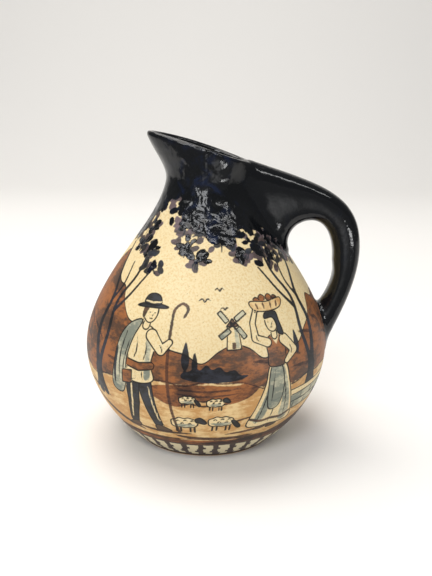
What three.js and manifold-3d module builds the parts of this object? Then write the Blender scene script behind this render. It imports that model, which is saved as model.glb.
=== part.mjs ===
// A stoneware pitcher, thrown as a low pear shape and fired as one piece with its pulled handle.
// The rim slopes from a pinched spout at -X down to the handle at +X, and runs on into the handle's crest.
// Millimetres, +Z up. The origin is the centre of the flat foot, on the surface that the pitcher stands on.

import * as THREE from "three";
import { mergeVertices } from "three/addons/utils/BufferGeometryUtils.js";
import Module from "manifold-3d";

// Body: radii of the outer surface, and the rises between them
const FOOT_RADIUS = 49;
const FOOT_EDGE = 1.2;
const BELLY_RADIUS = 83.8;
const BELLY_HEIGHT = 66;
const NECK_RADIUS = 27.2;
const NECK_RISE = 114.5;
const MOUTH_RADIUS = 29;
const MOUTH_RISE = 20.3;
const WALL = 5.2;
const FLOOR = 7;

// How full the curves are: the reach of each tangent along the profile
const FOOT_FLARE_DEG = 39.6;
const FOOT_TANGENT = 24;
const UNDER_BELLY_TANGENT = 25.3;
const OVER_BELLY_TANGENT = 42.9;
const UNDER_NECK_TANGENT = 24;

// Rim and spout
const RIM_TILT_DEG = 17.2;
const TILT_RUN = 52;
const SPOUT_REACH = 12;
const SPOUT_RISE = 25.5;
const SPOUT_SPREAD_DEG = 31;
const SPOUT_DROOP = 2.4;
const FLANK_PINCH = 1.8;
const FLANK_DEG = 68;
const FLANK_SPREAD_DEG = 22;

// Handle: sizes of its section, of the gap for the fingers and of its two roots
const HANDLE_OVERHANG = 21.1;
const GRIP_THICKNESS = 18.2;
const GRIP_WIDTH = 22;
const ROOT_WIDTH = 29;
const TAIL_WIDTH = 25;
const CREST_LIFT = 1.5;
const CREST_THICKNESS = 23.6;
const WEB_HEIGHT = 63;
const GAP_FILLET = 14;
const TAIL_HEIGHT = 60;
const TAIL_SPAN = 31;
const SECTION_POWER = 3;
const SIDE_SHARE = 0.54;

// Fineness of the faceted surfaces
const TURN_SIDES = 64;
const LOWER_STEPS = 8;
const SHOULDER_STEPS = 12;
const MOUTH_STEPS = 6;
const LIP_STEPS = 4;
const SECTION_SIDES = 20;
const SPAN_STEPS = 9;

const wasm = await Module();
wasm.setup();

const rad = THREE.MathUtils.degToRad;
const point = (x, z) => new THREE.Vector2(x, z);
const along = (from, degrees, length) =>
  point(from.x + length * Math.cos(rad(degrees)), from.y + length * Math.sin(rad(degrees)));
const bezier = (...points) => new THREE.CubicBezierCurve(...points);
const smooth = THREE.MathUtils.smoothstep;

const NECK_HEIGHT = BELLY_HEIGHT + NECK_RISE;
const MOUTH_HEIGHT = NECK_HEIGHT + MOUTH_RISE;
const TILT_START = MOUTH_HEIGHT - TILT_RUN;

// The outer wall from the foot to the rim, as if it were turned, in (radius, height).
function outerWall() {
  const foot = point(FOOT_RADIUS, FOOT_EDGE);
  const belly = point(BELLY_RADIUS, BELLY_HEIGHT);
  const neck = point(NECK_RADIUS, NECK_HEIGHT);
  const mouth = point(MOUTH_RADIUS, MOUTH_HEIGHT - WALL / 2);
  const lower = bezier(
    foot,
    along(foot, FOOT_FLARE_DEG, FOOT_TANGENT),
    along(belly, -90, UNDER_BELLY_TANGENT),
    belly,
  );
  const shoulder = bezier(
    belly,
    along(belly, 90, OVER_BELLY_TANGENT),
    along(neck, -90, UNDER_NECK_TANGENT),
    neck,
  );
  const throat = bezier(neck, along(neck, 90, MOUTH_RISE / 3), along(mouth, -90, MOUTH_RISE / 3), mouth);
  return [
    ...lower.getPoints(LOWER_STEPS),
    ...shoulder.getPoints(SHOULDER_STEPS).slice(1),
    ...throat.getPoints(MOUTH_STEPS).slice(1),
  ];
}

// The same wall moved in by a distance, square to its own slope, and kept above the floor.
function insetWall(wall, distance) {
  const moved = wall.map((p, i) => {
    const before = wall[Math.max(i - 1, 0)];
    const after = wall[Math.min(i + 1, wall.length - 1)];
    const slope = after.clone().sub(before).normalize();
    return point(p.x - distance * slope.y, p.y + distance * slope.x);
  });
  moved[moved.length - 1].y = wall[wall.length - 1].y;
  return moved.filter((p) => p.y > FLOOR + distance / 2);
}

// The floor's edge, one wall's thickness in from where the inset wall starts.
const floorEdge = (inset) => point(inset[0].x - WALL, FLOOR);

// A half circle over the two walls, from the outer one to the inner one.
function lip(outer, inner) {
  const centre = outer.clone().add(inner).multiplyScalar(0.5);
  const arc = [];
  for (let i = 1; i < LIP_STEPS; i++) {
    const turn = (Math.PI * i) / LIP_STEPS;
    const half = outer.clone().sub(centre);
    arc.push(point(centre.x + half.x * Math.cos(turn), centre.y + half.x * Math.sin(turn)));
  }
  return arc;
}

// How far the spout stands out of the round at an angle, at a share of the way up its own rise.
function spoutReach(angle, share) {
  const fromSpout = Math.PI - Math.abs(angle);
  const nose = Math.exp(-((fromSpout / rad(SPOUT_SPREAD_DEG)) ** 2));
  const flank = Math.exp(-(((fromSpout - rad(FLANK_DEG)) / rad(FLANK_SPREAD_DEG)) ** 2));
  const rise = Math.min(Math.max(share, 0), 1);
  return (SPOUT_REACH * nose - FLANK_PINCH * flank) * rise ** 2 * (2 - rise);
}

// The rim's height over a point at x: a slanted line that droops towards the spout's tip.
function rimHeight(x) {
  const droop = Math.min(x, 0) / (MOUTH_RADIUS + SPOUT_REACH);
  return MOUTH_HEIGHT - Math.tan(rad(RIM_TILT_DEG)) * x - SPOUT_DROOP * droop ** 2;
}

// Takes a point of the turned shape to the pitcher: pulls out the spout and slants the rim.
function shaped(radius, angle, height) {
  const share = 1 + (height - MOUTH_HEIGHT) / SPOUT_RISE;
  const pulled = radius > 0 ? radius + spoutReach(angle, share) : 0;
  const rimX = (MOUTH_RADIUS + spoutReach(angle, 1)) * Math.cos(angle);
  const slant = Math.min(Math.max((height - TILT_START) / TILT_RUN, 0), 1);
  const lifted = height + (rimHeight(radius > 0 ? rimX : 0) - MOUTH_HEIGHT) * slant ** 2;
  return [pulled * Math.cos(angle), pulled * Math.sin(angle), lifted];
}

// A turned solid from a profile that starts and ends on the axis, with the spout and the slant.
function turned(profile) {
  const geometry = new THREE.LatheGeometry(profile, TURN_SIDES);
  geometry.rotateX(Math.PI / 2);
  const at = geometry.getAttribute("position");
  for (let i = 0; i < at.count; i++) {
    const radius = Math.hypot(at.getX(i), at.getY(i));
    const angle = Math.atan2(at.getY(i), at.getX(i));
    at.setXYZ(i, ...shaped(radius > 1e-6 ? radius : 0, angle, at.getZ(i)));
  }
  return solid(geometry);
}

// A closed geometry as a solid that can be joined and cut.
function solid(geometry) {
  geometry.deleteAttribute("normal");
  geometry.deleteAttribute("uv");
  const merged = mergeVertices(geometry, 1e-4);
  return new wasm.Manifold(
    new wasm.Mesh({
      numProp: 3,
      vertProperties: merged.getAttribute("position").array,
      triVerts: new Uint32Array(merged.index.array),
    }),
  );
}

// The vessel's wall, foot and rounded rim.
function vessel(wall) {
  const inner = insetWall(wall, WALL);
  const foot = [point(0, 0), point(FOOT_RADIUS - FOOT_EDGE, 0)];
  const inside = [...inner].reverse();
  return turned([...foot, ...wall, ...lip(wall.at(-1), inner.at(-1)), ...inside, floorEdge(inner), point(0, FLOOR)]);
}

// What the handle may not reach into: all that lies inside the middle of the wall, and the air over the mouth.
function core(wall) {
  const middle = insetWall(wall, WALL / 2);
  const top = MOUTH_HEIGHT + WEB_HEIGHT;
  return turned([point(0, FLOOR), floorEdge(middle), ...middle, point(middle.at(-1).x, top), point(0, top)]);
}

// The outer wall's radius at a height.
function radiusAt(wall, height) {
  const i = Math.max(1, wall.findIndex((p) => p.y >= height));
  const share = (height - wall[i - 1].y) / (wall[i].y - wall[i - 1].y);
  return THREE.MathUtils.lerp(wall[i - 1].x, wall[i].x, share);
}

// The handle's outer and inner edges in the XZ plane, each as spans that pair up one to one:
// out of the neck's wall, up to the crest over the gap, round to the side, down to the belly, and into its wall.
function handleRails(wall) {
  const outerX = BELLY_RADIUS + HANDLE_OVERHANG;
  const gapX = outerX - GRIP_THICKNESS;
  const rootTop = point(MOUTH_RADIUS - WALL / 2, rimHeight(MOUTH_RADIUS) + CREST_LIFT);
  const webZ = rootTop.y - WEB_HEIGHT;
  const webFoot = point(radiusAt(wall, webZ), webZ);
  const tailZ = TAIL_HEIGHT + TAIL_SPAN;
  const sideZ = THREE.MathUtils.lerp(TAIL_HEIGHT, rootTop.y, SIDE_SHARE);
  const crestX = (webFoot.x + gapX) / 2;
  const side = point(outerX, sideZ);
  const gapSide = point(gapX, sideZ - GRIP_THICKNESS / 3);
  const tail = point(radiusAt(wall, TAIL_HEIGHT) - WALL / 2, TAIL_HEIGHT);
  const gapEnd = point(radiusAt(wall, tailZ) - WALL / 3, tailZ);
  const reach = outerX - rootTop.x;
  const arch = bezier(
    rootTop,
    along(rootTop, 1 - RIM_TILT_DEG, reach * 0.67),
    along(side, 90, (rootTop.y - sideZ) * 0.65),
    side,
  );
  const crestAt = 0.42;
  const crest = arch.getPoint(crestAt);
  const gapTop = point(crestX, crest.y - Math.sqrt(CREST_THICKNESS ** 2 - (crest.x - crestX) ** 2));
  const part = (curve, from, to) => (share) => curve.getPoint(from + (to - from) * share);
  const whole = (...points) => part(bezier(...points), 0, 1);
  const line = (from, to) => (share) => from.clone().lerp(to, share);
  const inward = (from, distance) => point(from.x - distance, from.y);
  const outer = [
    line(inward(rootTop, 2 * WALL), rootTop),
    part(arch, 0, crestAt),
    part(arch, crestAt, 1),
    whole(side, along(side, -90, (sideZ - TAIL_HEIGHT) / 3), along(tail, 64, (sideZ - TAIL_HEIGHT) / 3), tail),
    line(tail, inward(tail, 2 * WALL)),
  ];
  const inner = [
    line(inward(webFoot, 3 * WALL), webFoot),
    whole(webFoot, along(webFoot, 101, GAP_FILLET), along(gapTop, 180, GAP_FILLET * 0.7), gapTop),
    whole(
      gapTop,
      along(gapTop, 0, (gapX - gapTop.x) * 0.62),
      along(gapSide, 90, (gapTop.y - gapSide.y) * 0.59),
      gapSide,
    ),
    whole(gapSide, along(gapSide, -90, TAIL_SPAN / 5), along(gapEnd, 56, TAIL_SPAN * 0.84), gapEnd),
    line(gapEnd, inward(gapEnd, 2 * WALL)),
  ];
  return { outer, inner };
}

// The handle's width in Y, at a share of the way along its spans.
function handleWidth(share) {
  const root = (ROOT_WIDTH - GRIP_WIDTH) * (1 - smooth(share, 0.15, 0.5));
  const tail = (TAIL_WIDTH - GRIP_WIDTH) * smooth(share, 0.65, 0.95);
  return GRIP_WIDTH + root + tail;
}

// The pulled handle: a rounded section swept between its two edges.
function handle(wall) {
  const { outer, inner } = handleRails(wall);
  const spans = outer.length;
  const geometry = new THREE.CylinderGeometry(1, 1, 1, SECTION_SIDES, spans * SPAN_STEPS);
  const at = geometry.getAttribute("position");
  const rounded = (value) => Math.sign(value) * Math.abs(value) ** (2 / SECTION_POWER);
  for (let i = 0; i < at.count; i++) {
    const share = 0.5 - at.getY(i);
    const span = Math.min(Math.floor(share * spans + 1e-9), spans - 1);
    const from = inner[span](share * spans - span);
    const to = outer[span](share * spans - span);
    const across = rounded(at.getX(i));
    const depth = rounded(at.getZ(i));
    const half = to.clone().sub(from).multiplyScalar(0.5);
    const middle = from.clone().add(half);
    const y = (-depth * handleWidth(share)) / 2;
    at.setXYZ(i, middle.x + half.x * across, y, middle.y + half.y * across);
  }
  return solid(geometry);
}

// The whole pitcher as one solid, back in a geometry that three.js draws.
function pitcherGeometry() {
  const wall = outerWall();
  const joined = vessel(wall).add(handle(wall).subtract(core(wall)));
  const { vertProperties, triVerts } = joined.getMesh();
  const geometry = new THREE.BufferGeometry();
  geometry.setAttribute("position", new THREE.BufferAttribute(vertProperties, 3));
  geometry.setIndex(new THREE.BufferAttribute(triVerts, 1));
  geometry.computeVertexNormals();
  return geometry;
}

const stoneware = new THREE.MeshStandardMaterial({ color: "#e3cb98", roughness: 0.5, metalness: 0 });

const pitcher = new THREE.Mesh(pitcherGeometry(), stoneware);
pitcher.name = "pitcher";

const model = new THREE.Group();
model.add(pitcher);

export default model;
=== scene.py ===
"""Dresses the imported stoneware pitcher: one fired piece, thrown, pulled, painted and glazed.

The CAD frame gives the pitcher's box. The vessel and its handle are worked out again here as fine surfaces, joined
with the soft fillets of wet clay, painted, and shown on a pale floor in soft studio light.
Lengths are millimetres until a mesh is made, and -Y is the side that the camera sees.
"""

from __future__ import annotations

import logging
import math
from dataclasses import dataclass, field
from enum import Enum

import bmesh
import bpy
import numpy as np
from mathutils import Matrix, Vector


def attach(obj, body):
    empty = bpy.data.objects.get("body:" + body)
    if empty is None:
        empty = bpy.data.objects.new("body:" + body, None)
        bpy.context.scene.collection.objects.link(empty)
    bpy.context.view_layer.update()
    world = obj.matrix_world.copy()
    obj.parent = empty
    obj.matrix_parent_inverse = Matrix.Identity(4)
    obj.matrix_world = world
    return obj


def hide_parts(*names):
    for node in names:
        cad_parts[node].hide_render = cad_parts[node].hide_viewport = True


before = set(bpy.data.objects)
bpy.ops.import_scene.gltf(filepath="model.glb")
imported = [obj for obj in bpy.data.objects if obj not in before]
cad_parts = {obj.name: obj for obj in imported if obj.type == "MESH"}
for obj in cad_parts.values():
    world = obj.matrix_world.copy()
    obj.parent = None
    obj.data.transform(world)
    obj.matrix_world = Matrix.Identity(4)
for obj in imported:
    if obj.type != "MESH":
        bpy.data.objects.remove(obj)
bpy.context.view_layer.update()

MM = 0.001
LOG = logging.getLogger("pitcher")
Array = np.ndarray


def smoothstep(value: Array, low: float, high: float) -> Array:
    """Ease from 0 at low to 1 at high, as 3t^2 - 2t^3 of the clamped share t.

    Args:
        value: the numbers to ease.
        low: where the ease starts.
        high: where it ends.

    Returns:
        Numbers from 0 to 1, in value's shape.
    """
    share = np.clip((value - low) / (high - low), 0.0, 1.0)
    return share * share * (3.0 - 2.0 * share)


def wrap(angle: Array) -> Array:
    """Angles brought to the range from -pi to pi."""
    return (angle + math.pi) % (2.0 * math.pi) - math.pi


def bezier(start: tuple, first: tuple, second: tuple, end: tuple, count: int) -> Array:
    """Points of a cubic Bezier curve: the Bernstein mix of its four control points.

    Args:
        start: the first point.
        first: the control point next to it.
        second: the control point next to the end.
        end: the last point.
        count: how many points to give.

    Returns:
        An array of count points with two coordinates each.
    """
    t = np.linspace(0.0, 1.0, count)[:, None]
    ends = (1 - t) ** 3 * np.array(start) + t**3 * np.array(end)
    return ends + 3 * (1 - t) ** 2 * t * np.array(first) + 3 * (1 - t) * t**2 * np.array(second)


def ahead(point: tuple, degrees: float, length: float) -> tuple:
    """The point that lies at a distance and in a direction, in degrees, from another."""
    turn = math.radians(degrees)
    return (point[0] + length * math.cos(turn), point[1] + length * math.sin(turn))


@dataclass(frozen=True)
class Vessel:
    """The thrown body: a low pear with a narrow neck, a slanted rim and a pinched spout at -X."""

    foot_radius: float = 49.0
    foot_edge: float = 1.2
    belly_radius: float = 83.8
    belly_height: float = 66.0
    neck_radius: float = 27.2
    neck_height: float = 180.5
    mouth_radius: float = 29.0
    mouth_height: float = 200.8
    wall: float = 5.2
    floor: float = 7.0
    foot_flare_deg: float = 39.6
    rim_tilt_deg: float = 17.2
    tilt_run: float = 52.0
    spout_reach: float = 12.0
    spout_rise: float = 25.5
    spout_spread_deg: float = 31.0
    spout_droop: float = 2.4
    flank_pinch: float = 1.8
    flank_deg: float = 68.0
    flank_spread_deg: float = 22.0
    columns: int = 400
    row_step: float = 0.97
    front_density: float = 0.3
    outer: Array = field(init=False, repr=False, compare=False)

    def __post_init__(self) -> None:
        """Works out the outer wall once: three Bezier curves from the foot over the belly and neck to the rim."""
        foot = (self.foot_radius, self.foot_edge)
        belly = (self.belly_radius, self.belly_height)
        neck = (self.neck_radius, self.neck_height)
        mouth = (self.mouth_radius, self.mouth_height - self.wall / 2)
        third = (self.mouth_height - self.neck_height) / 3
        lower = bezier(foot, ahead(foot, self.foot_flare_deg, 24.0), ahead(belly, -90, 25.3), belly, 300)
        shoulder = bezier(belly, ahead(belly, 90, 42.9), ahead(neck, -90, 24.0), neck, 500)
        throat = bezier(neck, ahead(neck, 90, third), ahead(mouth, -90, third), mouth, 100)
        object.__setattr__(self, "outer", np.vstack([lower, shoulder[1:], throat[1:]]))

    @property
    def girth(self) -> Array:
        """Arc length from the foot's edge up the outer wall, at each point of the profile."""
        steps = np.hypot(*np.diff(self.outer, axis=0).T)
        return np.concatenate([[0.0], np.cumsum(steps)])

    def radius_at(self, height: Array) -> Array:
        """Outer radius of the turned shape at a height."""
        return np.interp(height, self.outer[:, 1], self.outer[:, 0])

    def climb_at(self, height: Array) -> Array:
        """Arc length up the outer wall at a height, which is the painter's upright coordinate."""
        return np.interp(height, self.outer[:, 1], self.girth)

    def spout(self, angle: Array, height: Array) -> Array:
        """How far the spout pulls the wall out of the round.

        Formula: a bell curve round -X, less a shallow one on each flank, times the eased share of the spout's rise.

        Args:
            angle: angle about the axis, 0 at +X.
            height: height on the turned shape.

        Returns:
            Millimetres outwards, along the radius.
        """
        away = np.degrees(math.pi - np.abs(angle))
        nose = np.exp(-((away / self.spout_spread_deg) ** 2))
        flank = np.exp(-(((away - self.flank_deg) / self.flank_spread_deg) ** 2))
        share = np.clip(1 + (height - self.mouth_height) / self.spout_rise, 0, 1)
        return (self.spout_reach * nose - self.flank_pinch * flank) * share**2 * (2 - share)

    def slant(self, angle: Array) -> Array:
        """How far the rim lies above the turned mouth at an angle: a tilted line that droops at the spout."""
        x = (self.mouth_radius + self.spout(angle, np.full_like(angle, self.mouth_height))) * np.cos(angle)
        droop = np.minimum(x, 0) / (self.mouth_radius + self.spout_reach)
        return -math.tan(math.radians(self.rim_tilt_deg)) * x - self.spout_droop * droop**2

    def shape(self, radius: Array, angle: Array, height: Array) -> Array:
        """Takes points of the turned shape to the pitcher: pulls out the spout and slants the rim.

        Args:
            radius: radius on the turned shape.
            angle: angle about the axis.
            height: height on the turned shape.

        Returns:
            Points with x, y and z, in the arrays' common shape and one more axis.
        """
        on_axis = radius < 1e-6
        pulled = np.where(on_axis, 0.0, radius + self.spout(angle, height))
        lift = np.clip((height - self.mouth_height + self.tilt_run) / self.tilt_run, 0, 1)
        z = height + np.where(on_axis, 0.0, self.slant(angle)) * lift**2
        return np.stack([pulled * np.cos(angle), pulled * np.sin(angle), z], -1)

    def unshape(self, points: Array) -> tuple[Array, Array, Array]:
        """The way back from the pitcher: radius, angle and height on the turned shape.

        Formula: z = h + s (w / run)^2 with w = h - start is a quadratic in w, solved for w.

        Args:
            points: points with x, y and z.

        Returns:
            Radius with the spout taken off, angle and height on the turned shape.
        """
        angle = np.arctan2(points[:, 1], points[:, 0])
        bend = self.slant(angle) / self.tilt_run**2
        bend = np.where(np.abs(bend) < 1e-9, 1e-9, bend)
        start = self.mouth_height - self.tilt_run
        above = np.maximum(points[:, 2] - start, 0)
        over = (np.sqrt(np.maximum(1 + 4 * bend * above, 0)) - 1) / (2 * bend)
        height = np.where(points[:, 2] > start, start + over, points[:, 2])
        radius = np.hypot(points[:, 0], points[:, 1]) - self.spout(angle, height)
        return radius, angle, height

    def across(self, points: Array) -> tuple[Array, Array]:
        """How far points are from the wall's middle surface.

        Args:
            points: points with x, y and z.

        Returns:
            Millimetres outwards from the middle, and millimetres above the height where the lip starts to turn.
        """
        radius, _, height = self.unshape(points)
        capped = np.minimum(height, self.mouth_height - self.wall / 2)
        slope = np.gradient(self.outer[:, 0], self.outer[:, 1])
        lean = 1 / np.sqrt(1 + np.interp(capped, self.outer[:, 1], slope) ** 2)
        middle = self.radius_at(capped) - self.wall / 2 / lean
        return (radius - middle) * lean, height - capped

    def distance(self, points: Array) -> Array:
        """Signed distance to the wall and lip, less than zero in the clay: the lip is the end of a capsule."""
        return np.hypot(*self.across(points)) - self.wall / 2

    def inner(self) -> Array:
        """The inner wall as radius and height: the outer one moved in by the wall, square to its slope."""
        slope = np.gradient(self.outer, axis=0)
        slope /= np.hypot(*slope.T)[:, None]
        moved = self.outer + self.wall * np.stack([-slope[:, 1], slope[:, 0]], 1)
        moved[-1, 1] = self.outer[-1, 1]
        return moved[moved[:, 1] > self.floor + self.wall / 2]

    def angles(self, count: int) -> Array:
        """Angles of a ring's points, closest together on the painted front and furthest apart on the back.

        Formula: even turns t from the front, less the front density times sin t.

        Args:
            count: how many points the ring has.

        Returns:
            Angles about the axis.
        """
        turn = np.arange(count) * 2 * math.pi / count
        return -math.pi / 2 + turn - self.front_density * np.sin(turn)

    def rings(self) -> list[tuple[float, float, int]]:
        """The closed profile from the middle of the underside to the middle of the floor inside.

        Returns:
            Radius, height and number of points of each ring, in order. Neighbours have as many or twice as many.
        """
        full, half, few = self.columns, self.columns // 2, self.columns // 4
        climb = self.girth
        under = [(r, 0.0, few) for r in np.linspace(8, self.foot_radius - 9, 5)]
        corner = np.linspace(0, math.pi / 2, 5)[:-1]
        foot = self.foot_radius - self.foot_edge
        edge = [(foot + self.foot_edge * math.sin(a), self.foot_edge * (1 - math.cos(a)), full) for a in corner]
        crowd = float(np.interp(142.0, self.outer[:, 1], climb))
        low = np.linspace(0, crowd, round(crowd / self.row_step) + 1)
        high = np.linspace(crowd, climb[-1], round((climb[-1] - crowd) / (1.15 * self.row_step)) + 1)[1:]
        wall = [(np.interp(s, climb, self.outer[:, 0]), np.interp(s, climb, self.outer[:, 1]), n)
                for rows, n in ((low, full), (high, half)) for s in rows]
        inner = self.inner()[::-1]
        lip = self.wall / 2
        middle = (wall[-1][0] + inner[0][0]) / 2
        turns = np.linspace(0, math.pi, 10)[1:-1]
        top = [(middle + lip * math.cos(a), wall[-1][1] + lip * math.sin(a), half) for a in turns]
        down = np.concatenate([[0.0], np.cumsum(np.hypot(*np.diff(inner, axis=0).T))])
        steps = np.linspace(0, down[-1], 62)
        inside = [(np.interp(s, down, inner[:, 0]), np.interp(s, down, inner[:, 1]), few) for s in steps]
        bend = inside[-1]
        drop = bend[1] - self.floor
        corner = [(bend[0] - drop * (1 - math.cos(a)), bend[1] - drop * math.sin(a), few)
                  for a in np.linspace(0, math.pi / 2, 5)[1:]]
        flat = [(r, self.floor, few) for r in np.linspace(corner[-1][0] - 8, 8, 5)]
        return [*under, (foot - 4, 0.0, few), (foot - 1.5, 0.0, half), *edge, *wall, *top, *inside, *corner, *flat]

    def mesh(self) -> tuple[Array, list[Array]]:
        """Points and faces of the vessel.

        Formula: each ring is the angles taken through shape(), and a ring meets one of half as many points by three
        triangles for each of its pairs. The two ends close on a point of the axis.

        Returns:
            Points as rows of x, y and z, and a list of face arrays, of quads and of triangles.
        """
        rings = self.rings()
        starts = np.concatenate([[0], np.cumsum([n for _, _, n in rings])])
        points = [self.shape(np.full(n, r), self.angles(n), np.full(n, z)) for r, z, n in rings]
        quads, triangles = [], []
        for (_, _, n), (_, _, m), a, b in zip(rings, rings[1:], starts, starts[1:]):
            j = np.arange(min(n, m))
            if n == m:
                quads.append(np.stack([a + j, a + (j + 1) % n, b + (j + 1) % n, b + j], 1))
                continue
            k = (j + 1) % len(j)
            fine, coarse = (a, b) if n > m else (b, a)
            one, two, three = fine + 2 * j, fine + 2 * j + 1, fine + 2 * k
            fans = [(one, two, coarse + j), (two, coarse + k, coarse + j), (two, three, coarse + k)]
            fans = fans if n > m else [fan[::-1] for fan in fans]
            triangles += [np.stack(fan, 1) for fan in fans]
        first, last = rings[0], rings[-1]
        poles = np.array([[[0.0, 0.0, first[1]]], [[0.0, 0.0, last[1]]]])
        j, n, end = np.arange(first[2]), first[2], starts[-1]
        triangles.append(np.stack([np.full(n, end), (j + 1) % n, j], 1))
        tail = starts[-2]
        triangles.append(np.stack([tail + j, tail + (j + 1) % n, np.full(n, end + 1)], 1))
        return np.vstack([*points, *poles]), [np.vstack(quads), np.vstack(triangles)]


@dataclass(frozen=True)
class Handle:
    """The pulled handle: a rounded strap that carries on the rim's line, arches over and comes down on the belly."""

    vessel: Vessel
    overhang: float = 21.1
    grip_thickness: float = 18.2
    grip_width: float = 22.0
    root_width: float = 29.0
    tail_width: float = 25.0
    crest_lift: float = 1.5
    crest_fall_deg: float = 18.6
    crest_share: float = 0.42
    arch_steps: int = 800
    arch_pulls: tuple[float, float] = (0.67, 0.65)
    gap_pulls: tuple[float, float] = (0.62, 0.59)
    web_lean_deg: float = 101.0
    tail_lean_deg: float = 64.0
    gap_lean_deg: float = 56.0
    gap_lean_pull: float = 0.84
    crest_dip: float = 0.3
    crest_run: float = 24.0
    crest_thickness: float = 23.6
    web_height: float = 63.0
    gap_fillet: float = 14.0
    tail_height: float = 60.0
    tail_span: float = 31.0
    power: float = 2.5
    side_share: float = 0.54
    cap_margin: float = 0.15
    span_steps: int = 34
    around: int = 60
    rails: tuple[Array, Array] = field(init=False, repr=False, compare=False)

    def __post_init__(self) -> None:
        """Works out the outer and inner edge in the XZ plane: three spans, root to crest to side to tail."""
        v, n = self.vessel, self.span_steps + 1
        outer_x = v.belly_radius + self.overhang
        gap_x = outer_x - self.grip_thickness
        root_x = v.mouth_radius - v.wall / 2
        rim = v.mouth_height - math.tan(math.radians(v.rim_tilt_deg)) * v.mouth_radius
        root = (root_x, rim + self.crest_lift)
        web_z = root[1] - self.web_height
        web = (float(v.radius_at(web_z)), web_z)
        side = (outer_x, self.tail_height + (root[1] - self.tail_height) * self.side_share)
        gap_side = (gap_x, side[1] - self.grip_thickness / 3)
        tail = (float(v.radius_at(self.tail_height)) - v.wall / 2, self.tail_height)
        end_z = self.tail_height + self.tail_span
        gap_end = (float(v.radius_at(end_z)) - v.wall / 3, end_z)
        reach = outer_x - root[0]
        fall = side[1] - self.tail_height
        first = ahead(root, -self.crest_fall_deg, self.arch_pulls[0] * reach)
        second = ahead(side, 90, self.arch_pulls[1] * (root[1] - side[1]))
        arch = bezier(root, first, second, side, self.arch_steps + 1)
        cut = round(self.crest_share * self.arch_steps)
        crest = arch[cut]
        top_x = (web[0] + gap_x) / 2
        top = (top_x, crest[1] - math.sqrt(self.crest_thickness**2 - (crest[0] - top_x) ** 2))
        down = bezier(side, ahead(side, -90, fall / 3), ahead(tail, self.tail_lean_deg, fall / 3), tail, n)
        picks = np.hstack([np.linspace(0, cut, n), np.linspace(cut, self.arch_steps, n)[1:]])
        outer = np.vstack([arch[np.round(picks).astype(int)], down[1:]])
        outer[:, 1] -= self.crest_dip * (1 - smoothstep(outer[:, 0], root_x, root_x + self.crest_run))
        leave = ahead(web, self.web_lean_deg, self.gap_fillet)
        rise = bezier(web, leave, ahead(top, 180, 0.7 * self.gap_fillet), top, n)
        first = ahead(top, 0, self.gap_pulls[0] * (gap_x - top_x))
        over = bezier(top, first, ahead(gap_side, 90, self.gap_pulls[1] * (top[1] - gap_side[1])), gap_side, n)
        second = ahead(gap_end, self.gap_lean_deg, self.gap_lean_pull * self.tail_span)
        back = bezier(gap_side, ahead(gap_side, -90, self.tail_span / 5), second, gap_end, n)
        inner = np.vstack([rise, over[1:], back[1:]])
        object.__setattr__(self, "rails", (outer, inner))

    def width(self, share: Array) -> Array:
        """Full width in Y at a share of the way from the root to the tail: widest at the neck, least at the grip."""
        whole = 0.2 + 0.6 * share
        root = (self.root_width - self.grip_width) * (1 - smoothstep(whole, 0.15, 0.5))
        tail = (self.tail_width - self.grip_width) * smoothstep(whole, 0.65, 0.95)
        return self.grip_width + root + tail

    def wall_depth(self, points: Array) -> Array:
        """The points moved along X to the middle of the vessel's wall, on the handle's side."""
        v = self.vessel
        moved = points.copy()
        for _ in range(4):
            radius, angle, height = v.unshape(moved)
            height = np.minimum(height, v.mouth_height - v.wall / 2)
            target = v.radius_at(height) - v.wall / 2 + v.spout(angle, height)
            moved[:, 0] = np.sqrt(np.maximum(target**2 - moved[:, 1] ** 2, 1.0))
        return moved

    def sections(self) -> Array:
        """The strap's skin as rings of points, from the root to the tail.

        Formula: a superellipse |a|^p + |b|^p = 1 carried along the pairs of edge points. The rings that have sunk
        into the wall are left out, and the first and last are moved to the wall's middle.

        Returns:
            Points in an array of rings, points round the ring, and x, y and z.
        """
        outer, inner = self.rails
        turn = np.arange(self.around) * 2 * math.pi / self.around
        ring = np.stack([np.cos(turn), np.sin(turn)])
        across, depth = np.sign(ring) * np.abs(ring) ** (2 / self.power)
        middle, half = (outer + inner) / 2, (outer - inner) / 2
        flat = middle[:, None] + half[:, None] * across[None, :, None]
        y = self.width(np.linspace(0, 1, len(outer)))[:, None] / 2 * depth[None]
        rings = np.stack([flat[..., 0], y, flat[..., 1]], -1)
        clear = rings[..., 0] - self.wall_depth(rings.reshape(-1, 3))[:, 0].reshape(y.shape)
        rings = rings[clear.min(1) > self.cap_margin]
        return np.concatenate([self.wall_depth(rings[0])[None], rings, self.wall_depth(rings[-1])[None]])

    def skin(self) -> tuple[Array, Array]:
        """The skin's points and their normals, the cross product of the grid's two directions."""
        rings = self.sections()
        along = np.gradient(rings, axis=0)
        around = np.roll(rings, -1, 1) - np.roll(rings, 1, 1)
        normals = np.cross(around, along)
        normals /= np.linalg.norm(normals, axis=-1)[..., None]
        outwards = (normals * (rings - rings.mean(1, keepdims=True))).sum(-1)
        normals *= np.sign(outwards.sum())
        return rings.reshape(-1, 3), normals.reshape(-1, 3)

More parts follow.
